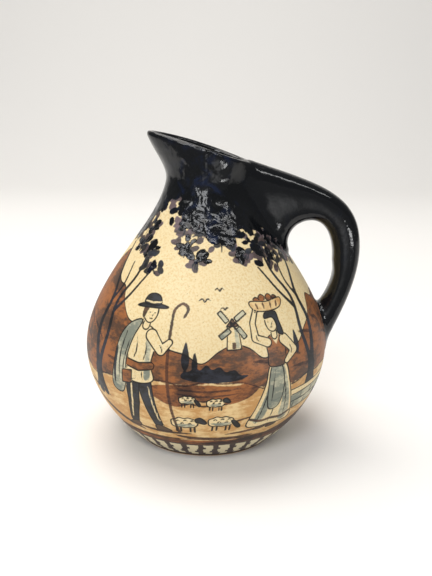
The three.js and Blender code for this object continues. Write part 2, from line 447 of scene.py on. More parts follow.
    def mesh(self) -> tuple[Array, list[Array]]:
        """Points and faces of the handle, closed by two caps that lie inside the vessel's wall.

        Formula: each cap is the last ring shrunk in two steps to a point, with every point at the middle of the wall.

        Returns:
            Points as rows of x, y and z, and a list of face arrays, of quads and of triangles.
        """
        sections = self.sections()
        caps = []
        for end in (sections[0], sections[-1]):
            centre = end.mean(0)
            caps.append([self.wall_depth(centre + (end - centre) * share) for share in (0.7, 0.35)])
            caps[-1].append(self.wall_depth(centre[None]))
        rows = [*caps[0][::-1], *sections, *caps[1]]
        n, rings = self.around, len(rows) - 2
        j = np.arange(n)
        starts = 1 + n * np.arange(rings)
        quads = [np.stack([a + j, a + n + j, a + n + (j + 1) % n, a + (j + 1) % n], 1) for a in starts[:-1]]
        last, end = starts[-1], starts[-1] + n
        tips = [np.stack([np.zeros(n, int), 1 + j, 1 + (j + 1) % n], 1)]
        tips.append(np.stack([last + (j + 1) % n, last + j, np.full(n, end)], 1))
        return np.vstack(rows), [np.vstack(quads), np.vstack(tips)]


def through(points: list | Array, closed: bool, per_span: int = 5) -> Array:
    """A smooth curve through points: on each span the cubic whose ends lean along the line past their neighbours.

    Args:
        points: points with two coordinates.
        closed: whether the curve comes back to its start.
        per_span: how many points each span gets.

    Returns:
        The curve's points.
    """
    knots = np.asarray(points, float)
    if closed:
        before, start, end, after = np.roll(knots, 1, 0), knots, np.roll(knots, -1, 0), np.roll(knots, -2, 0)
    else:
        longer = np.vstack([2 * knots[0] - knots[1], knots, 2 * knots[-1] - knots[-2]])
        before, start, end, after = longer[:-3], longer[1:-2], longer[2:-1], longer[3:]
    t = (np.arange(per_span) / per_span)[None, :, None]
    first, second = (end - before)[:, None], (2 * before - 5 * start + 4 * end - after)[:, None]
    third = (3 * start - before - 3 * end + after)[:, None]
    curve = (0.5 * (2 * start[:, None] + first * t + second * t**2 + third * t**3)).reshape(-1, 2)
    return curve if closed else np.vstack([curve, knots[-1:]])


def inside_shape(points: Array, corners: Array) -> Array:
    """Signed distance into a closed shape.

    Formula: the least distance to its sides, above zero where a line to the right crosses an odd number of sides.

    Args:
        points: rows of x and y.
        corners: the shape's corners in order.

    Returns:
        One distance for each point.
    """
    start, side = corners, np.roll(corners, -1, 0) - corners
    offset = points[:, None] - start[None]
    share = np.clip((offset * side).sum(-1) / np.maximum((side**2).sum(-1), 1e-9), 0, 1)
    gap = np.sqrt(((offset - share[..., None] * side) ** 2).sum(-1).min(1))
    rise = np.where(side[:, 1] == 0, 1e-9, side[:, 1])
    level = points[:, 1:]
    crossing = (start[:, 1] > level) != (start[:, 1] + side[:, 1] > level)
    crossing &= points[:, :1] < start[:, 0] + (level - start[:, 1]) * side[:, 0] / rise
    return np.where(crossing.sum(1) % 2 == 1, gap, -gap)


def inside_line(points: Array, line: Array, halves: Array) -> Array:
    """Signed distance into a line of changing width.

    Formula: the half width less the distance to the line's middle, the most of all its pieces.

    Args:
        points: rows of x and y.
        line: the line's points.
        halves: its half width at each of them.

    Returns:
        One distance for each point.
    """
    start, piece = line[:-1], np.diff(line, axis=0)
    offset = points[:, None] - start[None]
    share = np.clip((offset * piece).sum(-1) / np.maximum((piece**2).sum(-1), 1e-9), 0, 1)
    gap = np.sqrt(((offset - share[..., None] * piece) ** 2).sum(-1))
    return (halves[:-1] + share * np.diff(halves) - gap).max(1)


class Pigment(Enum):
    """The painter's pots, in the order in which they lie over one another."""

    BARE = "bare"
    OCHRE = "ochre"
    RUST = "rust"
    MIST = "mist"
    UMBER = "umber"
    PLUM = "plum"
    SLATE = "slate"
    INK = "ink"
    GLAZE = "glaze"


@dataclass(frozen=True)
class Spot:
    """A place on the wall to paint at: its angle, its arc length up the wall, and the scale of what stands there."""

    turn_deg: float
    climb: float
    scale: float = 1.0
    mirror: bool = False


@dataclass
class Canvas:
    """The outer wall unrolled, with a layer of signed distances in millimetres for each pigment.

    A layer is above zero where its pigment lies. The contours hold pen lines round shapes: a line runs where one of
    them is zero, so it can be finer than the mesh.
    """

    turn: Array
    climb: Array
    radius: Array
    margin: float = 3.0
    far: float = -9.0
    clear: float = 30.0
    layers: dict[Pigment, Array] = field(init=False)
    contours: list[Array] = field(init=False)

    def __post_init__(self) -> None:
        """Starts every layer empty."""
        self.layers = {pigment: np.full(len(self.turn), self.far) for pigment in Pigment}
        self.contours = [np.full(len(self.turn), -self.clear) for _ in range(4)]

    def pen(self, spot: Spot) -> float:
        """Half the width of a pen stroke at a spot, wider on the back, where the mesh is coarser."""
        return 0.5 + 0.2 * (1 - math.cos(math.radians(spot.turn_deg + 90)))

    def near(self, spot: Spot, low: Array, high: Array) -> tuple[Array, Array]:
        """The points of the wall in a box at a spot.

        Args:
            spot: where the box is.
            low: its lowest x and y, in the spot's own units.
            high: its highest x and y.

        Returns:
            The points' numbers, and their x to the right and y upwards from the spot in its own units.
        """
        side = -1.0 if spot.mirror else 1.0
        x = wrap(self.turn - math.radians(spot.turn_deg)) * self.radius * side / spot.scale
        y = (self.climb - spot.climb) / spot.scale
        margin = self.margin / spot.scale
        inside = (x > low[0] - margin) & (x < high[0] + margin) & (y > low[1] - margin) & (y < high[1] + margin)
        found = np.flatnonzero(inside & (self.climb > 0))
        return found, np.stack([x[found], y[found]], 1)

    def lay(self, pigment: Pigment, found: Array, depth: Array, over: bool) -> None:
        """Puts a shape into its pigment's layer, and takes it out of the others where it is painted over them."""
        for other, layer in self.layers.items():
            if other is pigment:
                layer[found] = np.maximum(layer[found], depth)
            elif over:
                layer[found] = np.minimum(layer[found], -depth)
        if over:
            hidden = found[depth > 0]
            for contour in self.contours:
                contour[hidden] = np.where(contour[hidden] > 0, self.clear, -self.clear)

    def outline(self, found: Array, depth: Array) -> None:
        """Draws a pen line where a shape's depth is zero, in the contour that is emptiest beside the shape."""
        beside = found[(depth < 0) & (depth > -self.margin)]
        contour = min(self.contours, key=lambda lines: int((lines[beside] > -self.clear).sum()))
        old = contour[found]
        contour[found] = np.where((depth > 0) | (np.abs(depth) < np.abs(old)), depth, old)

    def area(self, spot: Spot, pigment: Pigment, corners: list, outlined: bool = True, smooth: bool = True) -> None:
        """Paints a closed shape over what lies there.

        Args:
            spot: where it stands.
            pigment: what it is filled with, BARE for the clay's own cream.
            corners: its corners, in the spot's units.
            outlined: whether a pen line goes round it.
            smooth: whether its side runs in a curve through the corners.
        """
        shape = through(corners, True) if smooth else np.asarray(corners, float)
        found, points = self.near(spot, shape.min(0), shape.max(0))
        depth = inside_shape(points, shape) * spot.scale
        self.lay(pigment, found, depth, over=True)
        if outlined:
            self.outline(found, depth)

    def wash(self, spot: Spot, pigment: Pigment, corners: list, smooth: bool = True) -> None:
        """Lays a closed shape of pigment on what is there, without a line."""
        shape = through(corners, True) if smooth else np.asarray(corners, float)
        found, points = self.near(spot, shape.min(0), shape.max(0))
        self.lay(pigment, found, inside_shape(points, shape) * spot.scale, over=False)

    def limb(self, spot: Spot, pigment: Pigment, line: list, halves: list, outlined: bool = True) -> None:
        """Paints a tapered limb, a line with its half width at each point, over what lies there."""
        knots, widths = np.asarray(line, float), np.asarray(halves, float)
        found, points = self.near(spot, (knots - widths[:, None]).min(0), (knots + widths[:, None]).max(0))
        depth = inside_line(points, knots, widths) * spot.scale
        self.lay(pigment, found, depth, over=pigment is Pigment.BARE or outlined)
        if outlined:
            self.outline(found, depth)

    def stroke(self, spot: Spot, pigment: Pigment, line: list, half: float | None = None, ends: float = 0.5) -> None:
        """A brush stroke through points, thickest in the middle.

        Args:
            spot: where it starts from.
            pigment: its paint.
            line: its points, in the spot's units.
            half: half its width in millimetres in the middle, or None for the pen's.
            ends: its share of that width at the ends.
        """
        curve = through(line, False)
        widest = (self.pen(spot) if half is None else half) / spot.scale
        swell = np.sin(np.linspace(0, math.pi, len(curve)))
        found, points = self.near(spot, curve.min(0) - widest, curve.max(0) + widest)
        halves = widest * (ends + (1 - ends) * np.sqrt(np.abs(swell)))
        self.lay(pigment, found, inside_line(points, curve, halves) * spot.scale, over=False)

    def band(self, pigment: Pigment, depth: Array, over: bool = False) -> None:
        """Lays a shape that is known all round the wall, from its depth at every point."""
        found = np.flatnonzero(self.climb > 0)
        self.lay(pigment, found, depth[found], over)

    def dab(self, spot: Spot, pigment: Pigment, radii: tuple[float, float], tilt: float) -> None:
        """One touch of the brush: an ellipse, its distance taken as its least radius times one less its own norm."""
        reach = np.full(2, max(radii))
        found, points = self.near(spot, -reach, reach)
        c, s = math.cos(tilt), math.sin(tilt)
        norm = np.hypot((points @ [c, s]) / radii[0], (points @ [-s, c]) / radii[1])
        self.lay(pigment, found, min(radii) * (1 - norm), over=False)


@dataclass(frozen=True)
class Picture:
    """What is painted: hills, a herdsman and a basket carrier with sheep, trees, and leaves that meet the glaze."""

    seed: int = 41
    fringe: int = 150
    leaf: tuple[float, float] = (3.1, 1.9)
    ridge: tuple[tuple[float, float], ...] = (
        (-188, 124), (-180, 133), (-170, 146), (-161, 152), (-156, 139), (-148, 131), (-141, 129), (-136, 119),
        (-128, 109), (-120, 110), (-112, 104), (-106, 96), (-98, 93), (-91, 88), (-84, 95), (-77, 99), (-70, 96),
        (-63, 89), (-54, 97), (-45, 93), (-37, 101), (-29, 108), (-22, 120), (-14, 116), (-6, 119), (6, 108),
        (22, 100), (40, 110), (58, 121), (74, 112), (92, 98),
        (110, 94), (128, 105), (142, 118), (156, 124), (172, 131), (180, 139), (190, 148),
    )
    leaf_clusters: tuple[tuple[float, float, float, int], ...] = (
        (-178, 172, 8, 18), (-164, 168, 7, 18), (-153, 172, 6, 14), (-147, 160, 5, 12), (-135, 157, 5, 13),
        (-126, 145, 4.5, 11),
        (-136, 196, 4, 8), (-117, 190, 6, 14), (-108, 177, 7.5, 22), (-103, 162, 6.5, 16), (-95, 152, 4.5, 9),
        (-92, 176, 8, 18), (-78, 168, 7.5, 20), (-66, 157, 6, 15), (-50, 162, 8, 20), (-41, 150, 6, 15),
        (-31, 166, 7, 18), (-24, 155, 7, 18), (-15, 163, 7, 18), (-11, 148, 6, 14), (8, 158, 8, 20),
        (30, 152, 7, 18), (54, 166, 9, 24),
        (80, 160, 8, 22), (104, 172, 9, 22), (132, 160, 8, 22), (156, 170, 8, 18),
    )

    def land(self, canvas: Canvas) -> None:
        """The hills and the ground all round: below a ridge line, and below the far edge of the fields."""
        knots = through(self.ridge, False)
        top = np.interp(np.degrees(canvas.turn), knots[:, 0], knots[:, 1])
        edge = 73 + 3.5 * np.sin(3 * canvas.turn + 0.6) + 1.8 * np.sin(8 * canvas.turn)
        canvas.band(Pigment.RUST, top - canvas.climb)
        canvas.outline(np.flatnonzero(canvas.climb > 0), (top - canvas.climb)[canvas.climb > 0])
        canvas.band(Pigment.OCHRE, np.minimum(edge - canvas.climb, canvas.climb - 18), over=True)
        canvas.band(Pigment.UMBER, 0.6 - np.abs(edge - canvas.climb - 0.8 * np.sin(21 * canvas.turn)))
        ring = canvas.climb - 27.5 - 0.9 * np.sin(4 * canvas.turn + 1)
        canvas.band(Pigment.UMBER, 0.9 + 0.6 * np.sin(5 * canvas.turn) - np.abs(ring))
        canvas.band(Pigment.RUST, 3.0 - np.abs(canvas.climb - 23.8))

    def fields(self, canvas: Canvas) -> None:
        """Folds of the hills, the ploughed patch in the middle and the long dark strokes in the foreground."""
        middle = Spot(-90, 0)
        for x, y, long, drop in (
            (-128, 116, 24, 10), (-112, 104, 22, 8), (-92, 100, 16, 8), (-118, 92, 26, 5), (-70, 84, 18, 4),
            (30, 88, 16, 3), (52, 92, 16, 6), (66, 100, 18, 4), (84, 106, 16, 8), (60, 80, 26, 3), (100, 92, 20, 6),
        ):
            line = [(x, y), (x + long / 2, y - drop / 3), (x + long, y - drop)]
            canvas.stroke(middle, Pigment.UMBER, line, 1.1, 0.2)
        patch = Spot(-91, 64)
        corners = [(-34, 7), (-20, 10), (0, 11), (22, 10), (38, 12), (31, 2), (15, -3), (0, 0), (-15, -5), (-29, 0)]
        canvas.wash(patch, Pigment.RUST, corners)
        for row in range(4):
            y = 8 - 3.4 * row
            canvas.stroke(patch, Pigment.UMBER, [(-22 + 5 * row, y), (2, y - 1.5), (24 - 2 * row, y)], 0.75, 0.3)
        rising = [(-46, -8), (-20, -9), (10, -8.5), (42, -6), (84, 4), (98, 32), (70, 19), (44, 9), (22, 1), (0, -4)]
        canvas.wash(Spot(-64, 31), Pigment.UMBER, rising)
        for turn, climb, line, half in (
            (-138, 40, [(-26, 11), (-12, 5), (4, -3), (19, -8)], 2.0),
            (-95, 29, [(-12, 3), (2, 0.6), (20, 0), (38, 1.6)], 1.8),
            (-60, 36, [(-24, -2), (-6, 0), (14, 3)], 1.2),
            (-117, 36, [(-14, 0), (4, -1.6), (26, -1)], 1.3),
            (-75, 47, [(-12, -2), (0, 0), (12, 3)], 0.8),
            (-150, 58, [(-14, 2), (0, 0), (16, -4)], 1.0),
            (60, 34, [(-30, 0), (0, 2), (34, -2)], 2.0),
            (118, 42, [(-26, -2), (0, 2), (30, 0)], 1.8),
        ):
            canvas.stroke(Spot(turn, climb), Pigment.UMBER, line, half, 0.25)

    def face(self, canvas: Canvas, spot: Spot, middle: tuple[float, float]) -> None:
        """The same few pen marks for everyone: two eyes, a nose and a mouth."""
        x, y = middle
        for mark, half in (
            ([(-1.9, 2.1), (-1.3, 2.1)], 0.45), ([(1.3, 2.1), (1.9, 2.1)], 0.45),
            ([(0.2, 1.6), (0.5, 0.2), (-0.1, 0.1)], 0.3), ([(-0.9, -1.4), (0.9, -1.4)], 0.36),
        ):
            canvas.stroke(spot, Pigment.INK, [(x + right, y + up) for right, up in mark], half, 0.9)

    def herdsman(self, canvas: Canvas, spot: Spot) -> None:
        """A herdsman in hat and cape who leans on a crook, with a plain face."""
        canvas.stroke(spot, Pigment.UMBER, [(20, 0), (19, 30), (17.6, 58), (16.6, 73)], 1.0, 0.9)
        canvas.stroke(spot, Pigment.UMBER, [(16.6, 73), (16.4, 80), (20, 84), (24, 81), (23, 76)], 0.95, 0.8)
        canvas.limb(spot, Pigment.SLATE, [(3, 42), (6, 22), (8.5, 5)], [5.2, 3.8, 2.7])
        canvas.limb(spot, Pigment.SLATE, [(-4, 42), (-5, 22), (-9, 5)], [5.4, 4.0, 2.9])
        canvas.limb(spot, Pigment.BARE, [(-5, 36), (-6, 22), (-9.4, 8)], [0.5, 0.6, 0.4], outlined=False)
        canvas.limb(spot, Pigment.BARE, [(6.5, 34), (8, 22), (9.6, 9)], [0.4, 0.5, 0.4], outlined=False)
        canvas.area(spot, Pigment.UMBER, [(-15, 0.6), (-9, 4.6), (-6, 4), (-5.6, 0.8), (-10, 0)])
        canvas.area(spot, Pigment.UMBER, [(5.8, 4.4), (9.5, 5), (15.4, 1.4), (12, 0), (6, 0.4)])
        shirt = [(-8, 67), (-1, 70), (7, 67), (9.4, 58), (8, 47), (10, 38), (0, 35), (-10, 38), (-8, 48), (-10, 58)]
        canvas.area(spot, Pigment.BARE, shirt)
        canvas.wash(spot, Pigment.MIST, [(3, 64), (7, 62), (7, 50), (8, 40), (4, 38), (4, 52)])
        for fold in ([(-3, 62), (-2.4, 54), (-4, 49)], [(3.4, 60), (4, 54), (3, 49)], [(2, 43), (3, 37)]):
            canvas.stroke(spot, Pigment.INK, fold)
        canvas.limb(spot, Pigment.RUST, [(-8.2, 46.4), (0, 44.8), (8.2, 46.4)], [2.1, 2.3, 2.1])
        cape = [(-2, 72), (-10, 69), (-16, 60), (-19, 44), (-20.5, 29), (-13, 26), (-9.4, 34), (-9, 48), (-6, 61)]
        canvas.area(spot, Pigment.MIST, cape)
        canvas.stroke(spot, Pigment.SLATE, [(-16.6, 54), (-18, 42), (-18.4, 31)], 1.1, 0.3)
        for y in (30.6, 33.2):
            canvas.stroke(spot, Pigment.RUST, [(-19.6, y), (-15, y - 2.0), (-11, y - 1.4)], 0.6, 0.9)
        for fold in ([(-11, 65), (-14, 50), (-14.6, 34)], [(-8, 60), (-11, 46), (-11.6, 33)]):
            canvas.stroke(spot, Pigment.INK, fold)
        canvas.limb(spot, Pigment.BARE, [(6, 64), (13.4, 56), (17.6, 61)], [3.6, 2.8, 1.9])
        canvas.stroke(spot, Pigment.INK, [(12, 59), (13.6, 57), (14.6, 54)])
        canvas.limb(spot, Pigment.BARE, [(1, 69), (1.6, 73)], [2.3, 2.1])
        head = [(-2.4, 76), (-1.6, 81), (2, 83), (6, 81), (6.6, 76), (4.8, 72), (1.8, 71), (-1, 73)]
        canvas.area(spot, Pigment.BARE, head)
        canvas.area(spot, Pigment.UMBER, [(-3, 80), (-3.2, 75), (-1.6, 73), (-0.4, 77), (0.6, 81)], outlined=False)
        self.face(canvas, spot, (3.2, 74.8))
        brim = [(-8.4, 80), (-3, 82.4), (4, 83), (12, 81.4), (10.4, 80.2), (3, 80), (-3, 79.6)]
        canvas.area(spot, Pigment.SLATE, brim)
        canvas.area(spot, Pigment.SLATE, [(-3.4, 82), (-2.6, 87), (1.6, 88.6), (5.6, 87), (6.8, 82)])
        canvas.limb(spot, Pigment.BARE, [(-3, 83.4), (1.6, 83), (6.2, 83.6)], [0.5, 0.6, 0.5], outlined=False)
        canvas.area(spot, Pigment.RUST, [(-12, 41), (-4.6, 42), (-5, 34), (-12, 33)], smooth=False)

    def carrier(self, canvas: Canvas, spot: Spot) -> None:
        """A country dweller in a long pale skirt, with a basket on the head and a plain face."""
        skirt = [
            (-5.5, 47), (5.5, 47), (9, 36), (13.5, 20), (17, 5), (8, 3), (0, 3.8), (-8, 3), (-16, 6), (-12.5, 22),
            (-8.5, 36),
        ]
        for foot in ([(-6, 4), (-1.6, 4), (-3, 0.8), (-9.4, 0.2)], [(3, 4), (7.4, 4), (6, 0.6), (-0.4, 0.2)]):
            canvas.area(spot, Pigment.UMBER, foot)
        canvas.area(spot, Pigment.BARE, skirt)
        canvas.wash(spot, Pigment.MIST, [(2, 44), (5, 44), (14, 9), (7, 6), (5, 24)])
        canvas.wash(spot, Pigment.MIST, [(-4, 44), (-2, 44), (-4, 20), (-7, 8), (-12, 9), (-8, 28)])
        hem = [(-14.4, 11), (-7, 8.2), (0, 9), (8, 8), (15, 10.4)]
        canvas.stroke(spot, Pigment.UMBER, hem, 1.2, 0.9)
        for fold in ([(-3, 45), (-7, 26), (-10, 6)], [(0, 45), (0.6, 26), (-1, 6)], [(3, 45), (7.4, 26), (10.6, 5)]):
            canvas.stroke(spot, Pigment.INK, fold)
        canvas.area(spot, Pigment.MIST, [(-4.6, 46.4), (2.6, 46.4), (5, 32), (3, 19), (-4, 18), (-6.6, 31)])
        canvas.stroke(spot, Pigment.INK, [(-2.4, 44), (-3, 32), (-2.6, 21)])
        for y in (21.4, 24.4):
            canvas.stroke(spot, Pigment.RUST, [(-4.6, y), (-1, y - 1.0), (3.2, y)], 0.5, 0.9)
        bodice = [(-6.5, 62), (-2, 65), (3, 65), (7, 62), (6.4, 54), (5.8, 46.6), (-5.8, 46.6), (-6.4, 54)]
        canvas.area(spot, Pigment.RUST, bodice)
        canvas.area(spot, Pigment.BARE, [(-3.2, 65.4), (3.8, 65.4), (0.4, 58.6)], outlined=False, smooth=False)
        canvas.limb(spot, Pigment.BARE, [(-5.6, 60.8), (-13, 64), (-12.8, 73), (-9, 80.6)], [2.7, 2.3, 1.7, 1.4])
        canvas.stroke(spot, Pigment.INK, [(-10.4, 61.4), (-12, 63.6), (-12.2, 66)])
        canvas.limb(spot, Pigment.BARE, [(6.4, 61), (13.4, 53.6), (6.6, 48)], [3.4, 2.7, 1.7])
        canvas.stroke(spot, Pigment.INK, [(10.4, 57), (11.4, 54), (10.6, 51.6)])
        canvas.limb(spot, Pigment.BARE, [(0, 64), (0, 68)], [2.0, 2.0])
        head = [(-4.4, 72), (-3.6, 76), (0, 78), (3.4, 76.4), (4, 72), (2.4, 68), (0, 66.6), (-3, 68)]
        canvas.area(spot, Pigment.BARE, head)
        self.face(canvas, spot, (-0.8, 70.4))
        scarf = [(-4.4, 75), (-3, 78.6), (1, 80), (4.8, 77.6), (5.6, 72), (7, 64), (3, 65.6), (3, 71), (1, 75)]
        canvas.area(spot, Pigment.SLATE, scarf)
        for x, y in ((-6.4, 86), (6.6, 86), (-2.4, 87.4), (2.6, 87.2)):
            fruit = [(x - 2.4, y), (x, y + 2.3), (x + 2.4, y), (x, y - 2.3)]
            canvas.area(spot, Pigment.RUST, fruit)
        basket = [(-11, 86), (-9.4, 80.6), (0, 79), (9.4, 80.6), (11, 86), (0, 85)]
        canvas.area(spot, Pigment.OCHRE, basket)
        for x in (-6.6, -2.4, 2.4, 6.6):
            canvas.stroke(spot, Pigment.UMBER, [(x, 80.8), (1.12 * x, 84.6)], 0.7)

    def sheep(self, canvas: Canvas, spot: Spot, grazing: bool) -> None:
        """One sheep, standing or with its head in the grass."""
        for x in (-5.4, -2.6, 3.4, 6.0):
            canvas.stroke(spot, Pigment.INK, [(x, 6), (x - 0.3, 0)], max(0.5, 0.7 * spot.scale), 0.9)
        fleece = [
            (-8.6, 8), (-8.4, 11), (-5.4, 12.2), (-3.4, 13.6), (0, 12.8), (2.4, 13.6), (5, 12.6), (7.6, 11.4),
            (8.2, 8), (6, 5.2), (2.5, 4.8), (0, 4.2), (-3, 4.8), (-5.6, 4.4), (-8, 5.8),
        ]
        canvas.area(spot, Pigment.BARE, fleece)
        canvas.wash(spot, Pigment.MIST, [(-7.4, 7.4), (-3, 5.2), (3, 5.2), (6.8, 7.4), (3, 8), (-3, 7.6)])
        for x, y in ((-5.4, 10), (-0.6, 10.6), (3.8, 10.4), (-2.8, 7.8), (2, 7.6)):
            canvas.stroke(spot, Pigment.INK, [(x, y), (x + 1.3, y + 1), (x + 2.4, y)], 0.55)
        low = [(6.6, 9.6), (9.4, 9), (12.6, 4.4), (12.4, 1.8), (10.4, 2.2), (7.8, 6)]
        high = [(6.8, 12.4), (9.8, 14), (12.4, 12), (13.8, 9.4), (12.2, 8.2), (9.4, 9.2), (7.4, 9.6)]
        canvas.area(spot, Pigment.SLATE, low if grazing else high)

    def windmill(self, canvas: Canvas, spot: Spot) -> None:
        """A small windmill on its hill."""
        canvas.area(spot, Pigment.BARE, [(-4.6, -1), (4.6, -1), (3.2, 13.4), (-3.2, 13.4)], smooth=False)
        canvas.wash(spot, Pigment.MIST, [(1, 0), (3.8, 0), (2.6, 12.6), (0.8, 12.6)], smooth=False)
        canvas.area(spot, Pigment.UMBER, [(-4, 13), (0, 18), (4, 13)], smooth=False)
        canvas.area(spot, Pigment.UMBER, [(-1.2, -0.6), (1.2, -0.6), (1.2, 3.4), (-1.2, 3.4)], False, False)
        for x, y in ((9.0, 6.4), (6.4, -9.0)):
            canvas.stroke(spot, Pigment.INK, [(-x, 14 - y), (x, 14 + y)], 0.75, 0.9)
            for side in (-1, 1):
                blade = ((0.3, 0), (1, 0), (1, 0.26), (0.3, 0.26))
                corners = [(side * (a * x - b * y), 14 + side * (a * y + b * x)) for a, b in blade]
                canvas.area(spot, Pigment.MIST, corners, smooth=False)

    def growth(self, canvas: Canvas) -> None:
        """Two slender trees whose boughs reach the leaves, cypresses and bushes."""
        bush = [
            (-22, 0), (-21, 4), (-16, 5), (-13, 8), (-9, 6), (-5, 9.4), (-1, 6.4), (4, 8), (8, 4.6), (14, 5.6),
            (18, 2), (24, 1), (16, -2), (0, -3), (-14, -2),
        ]
        canvas.wash(Spot(-86, 79, 0.9), Pigment.SLATE, bush)
        canvas.wash(Spot(60, 80, 1.3), Pigment.SLATE, bush)
        spindle = [(0, -1), (2.4, 3), (2.8, 8), (1.6, 14), (0, 19), (-1.6, 14), (-2.8, 8), (-2.4, 3)]
        for turn, climb, scale in ((-98, 84, 0.9), (-94, 83, 0.65), (-45, 88, 0.8), (100, 92, 1.3), (108, 90, 1.0)):
            canvas.wash(Spot(turn, climb, scale), Pigment.SLATE, spindle)
        left, right, back = Spot(-147, 62), Spot(-33, 66), Spot(84, 62)
        for spot, side in ((left, 1), (right, -1), (back, 1)):
            for line, widest, least in (
                ([(0, -6), (2, 14), (-3, 38), (-1, 58), (-9, 78), (-14, 96)], 3.2, 0.9),
                ([(7, -6), (5, 12), (9, 34), (6, 56), (12, 76), (10, 96)], 2.6, 0.8),
                ([(-1, 55), (4, 68), (2, 84)], 1.1, 0.6),
                ([(7, 50), (15, 63), (21, 80)], 1.3, 0.7),
                ([(-6, -6), (-1, 2), (0, 12)], 0.9, 1.4),
            ):
                curve = through([(side * x, y) for x, y in line], False)
                canvas.limb(spot, Pigment.SLATE, curve, np.geomspace(widest, least, len(curve)), outlined=False)

    def stonework(self, canvas: Canvas) -> None:
        """A low dry wall of grey-green stones with a pale coping."""
        spot = Spot(-38, 45)
        canvas.area(spot, Pigment.MIST, [(-19, 1), (30, 4), (30, 17), (-18, 14)], smooth=False)
        canvas.area(spot, Pigment.BARE, [(-20, 13.4), (30, 16.4), (30, 20.4), (-19, 18)], smooth=False)
        for line in (
            [(-18.6, 8), (0, 8.6), (29, 11)], [(-8, 1.6), (-8.6, 8)], [(4, 2.4), (3.4, 9)], [(17, 3), (17, 10)],
            [(-14, 8), (-14, 14)], [(-2, 8.6), (-2.6, 14.6)], [(10, 9.4), (10, 15.4)], [(22, 10.4), (22.6, 16)],
        ):
            canvas.stroke(spot, Pigment.INK, line)
        canvas.wash(spot, Pigment.SLATE, [(18, 3.6), (29, 4.4), (29, 9.6), (18, 9)], smooth=False)

    def sky(self, canvas: Canvas) -> None:
        """Birds over the valley."""
        for turn, climb, scale in (
            (-90, 125, 1.1), (-82, 132, 0.9), (-80, 120, 0.8), (40, 140, 1.3), (64, 146, 1.1),
        ):
            wings = [(-3.4, 1), (-1.4, 2.4), (0, 0.4), (1.4, 2.4), (3.4, 1)]
            canvas.stroke(Spot(turn, climb, scale), Pigment.INK, wings)

    def leaves(self, canvas: Canvas) -> None:
        """Clumps of foliage, and the dark glaze above them, whose edge is a wave with one high bay of bare clay.

        Formula: a clump is a closed curve through points at uneven distances from its middle. Its leaves are dabs
        that lie round it and point outwards, and a few twigs carry on past them.
        """
        chance = np.random.default_rng(self.seed)
        bay = np.exp(-(((np.degrees(canvas.turn) + 129) / 19) ** 2))
        edge = 171 + 27 * bay + 3 * np.sin(7 * canvas.turn + 1) + 2 * np.sin(12 * canvas.turn + 2)
        canvas.band(Pigment.GLAZE, canvas.climb - edge)
        pots = (Pigment.GLAZE, Pigment.PLUM, Pigment.SLATE)
        order = np.argsort(canvas.turn)
        for _, drop, size, lean in chance.normal((0, 1, 1, 0), (0, 2.4, 0.2, 1.2), (self.fringe, 4)):
            turn = chance.uniform(-math.pi, math.pi)
            brink = float(np.interp(turn, canvas.turn[order], edge[order]))
            pot = pots[chance.choice(3, p=(0.6, 0.3, 0.1))]
            spot = Spot(math.degrees(turn), brink - drop)
            canvas.dab(spot, pot, (self.leaf[0] * size, self.leaf[1] * size), lean - math.pi / 2)
        for turn, climb, spread, count in self.leaf_clusters:
            middle = Spot(turn, climb)
            around = np.arange(9) * 2 * math.pi / 9 + chance.uniform(-0.2, 0.2, 9)
            reach = spread * chance.uniform(0.15, 0.85, 9)
            clump = np.stack([reach * np.cos(around), 0.85 * reach * np.sin(around)], 1)
            canvas.wash(middle, pots[chance.choice(3, p=(0.75, 0.2, 0.05))], clump)
            for lean in chance.uniform(-2.6, -0.5, 3):
                tip = 1.35 * spread * np.array([math.cos(lean), math.sin(lean)])
                canvas.stroke(middle, Pigment.SLATE, [(0, 0), 0.6 * tip + chance.normal(0, 0.6, 2), tip], 0.5)
            radius = float(np.interp(climb, (130.0, 190.0), (46.0, 28.0)))
            count = round(1.1 * count)
            leans = chance.uniform(-math.pi, math.pi, count)
            sizes = chance.uniform(0.7, 1.2, count)
            for lean, size, pot in zip(leans, sizes, chance.choice(3, count, p=(0.25, 0.6, 0.15))):
                far = spread * chance.uniform(0.35, 1.4)
                place = Spot(turn + math.degrees(far * math.cos(lean) / radius), climb + 0.85 * far * math.sin(lean))
                radii = (self.leaf[0] * size, self.leaf[1] * size)
                canvas.dab(place, pots[pot], radii, lean + chance.normal(0, 0.8))

    def paint(self, canvas: Canvas) -> None:
        """The whole picture, from what lies furthest back to the glaze."""
        self.land(canvas)
        self.fields(canvas)
        self.growth(canvas)
        self.stonework(canvas)
        self.windmill(canvas, Spot(-77, 97))
        self.sky(canvas)
        for turn, climb, scale, mirror, grazing in (
            (-97, 59, 0.62, False, True), (-85, 57, 0.66, False, False), (-99, 37, 1.0, False, False),
            (-82, 39, 0.95, False, True), (40, 44, 1.1, False, True),
            (62, 50, 1.0, True, False), (112, 46, 1.1, False, False), (136, 52, 0.9, True, True),
        ):
            self.sheep(canvas, Spot(turn, climb, scale, mirror), grazing)
        self.herdsman(canvas, Spot(-119, 35, 1.06))
        self.carrier(canvas, Spot(-57, 35, 1.04))
        self.leaves(canvas)


def make_object(name: str, points: Array, faces: list[Array]) -> bpy.types.Object:
    """A mesh object of points in millimetres, put in the scene with the points in metres.

    Args:
        name: the object's name.
        points: rows of x, y and z.
        faces: arrays of faces, each with as many corners in all its rows.

    Returns:
        The object, at the origin.
    """
    mesh = bpy.data.meshes.new(name)
    mesh.from_pydata((points * MM).tolist(), [], [face for part in faces for face in part.tolist()])
    made = bpy.data.objects.new(name, mesh)
    bpy.context.scene.collection.objects.link(made)
    return made


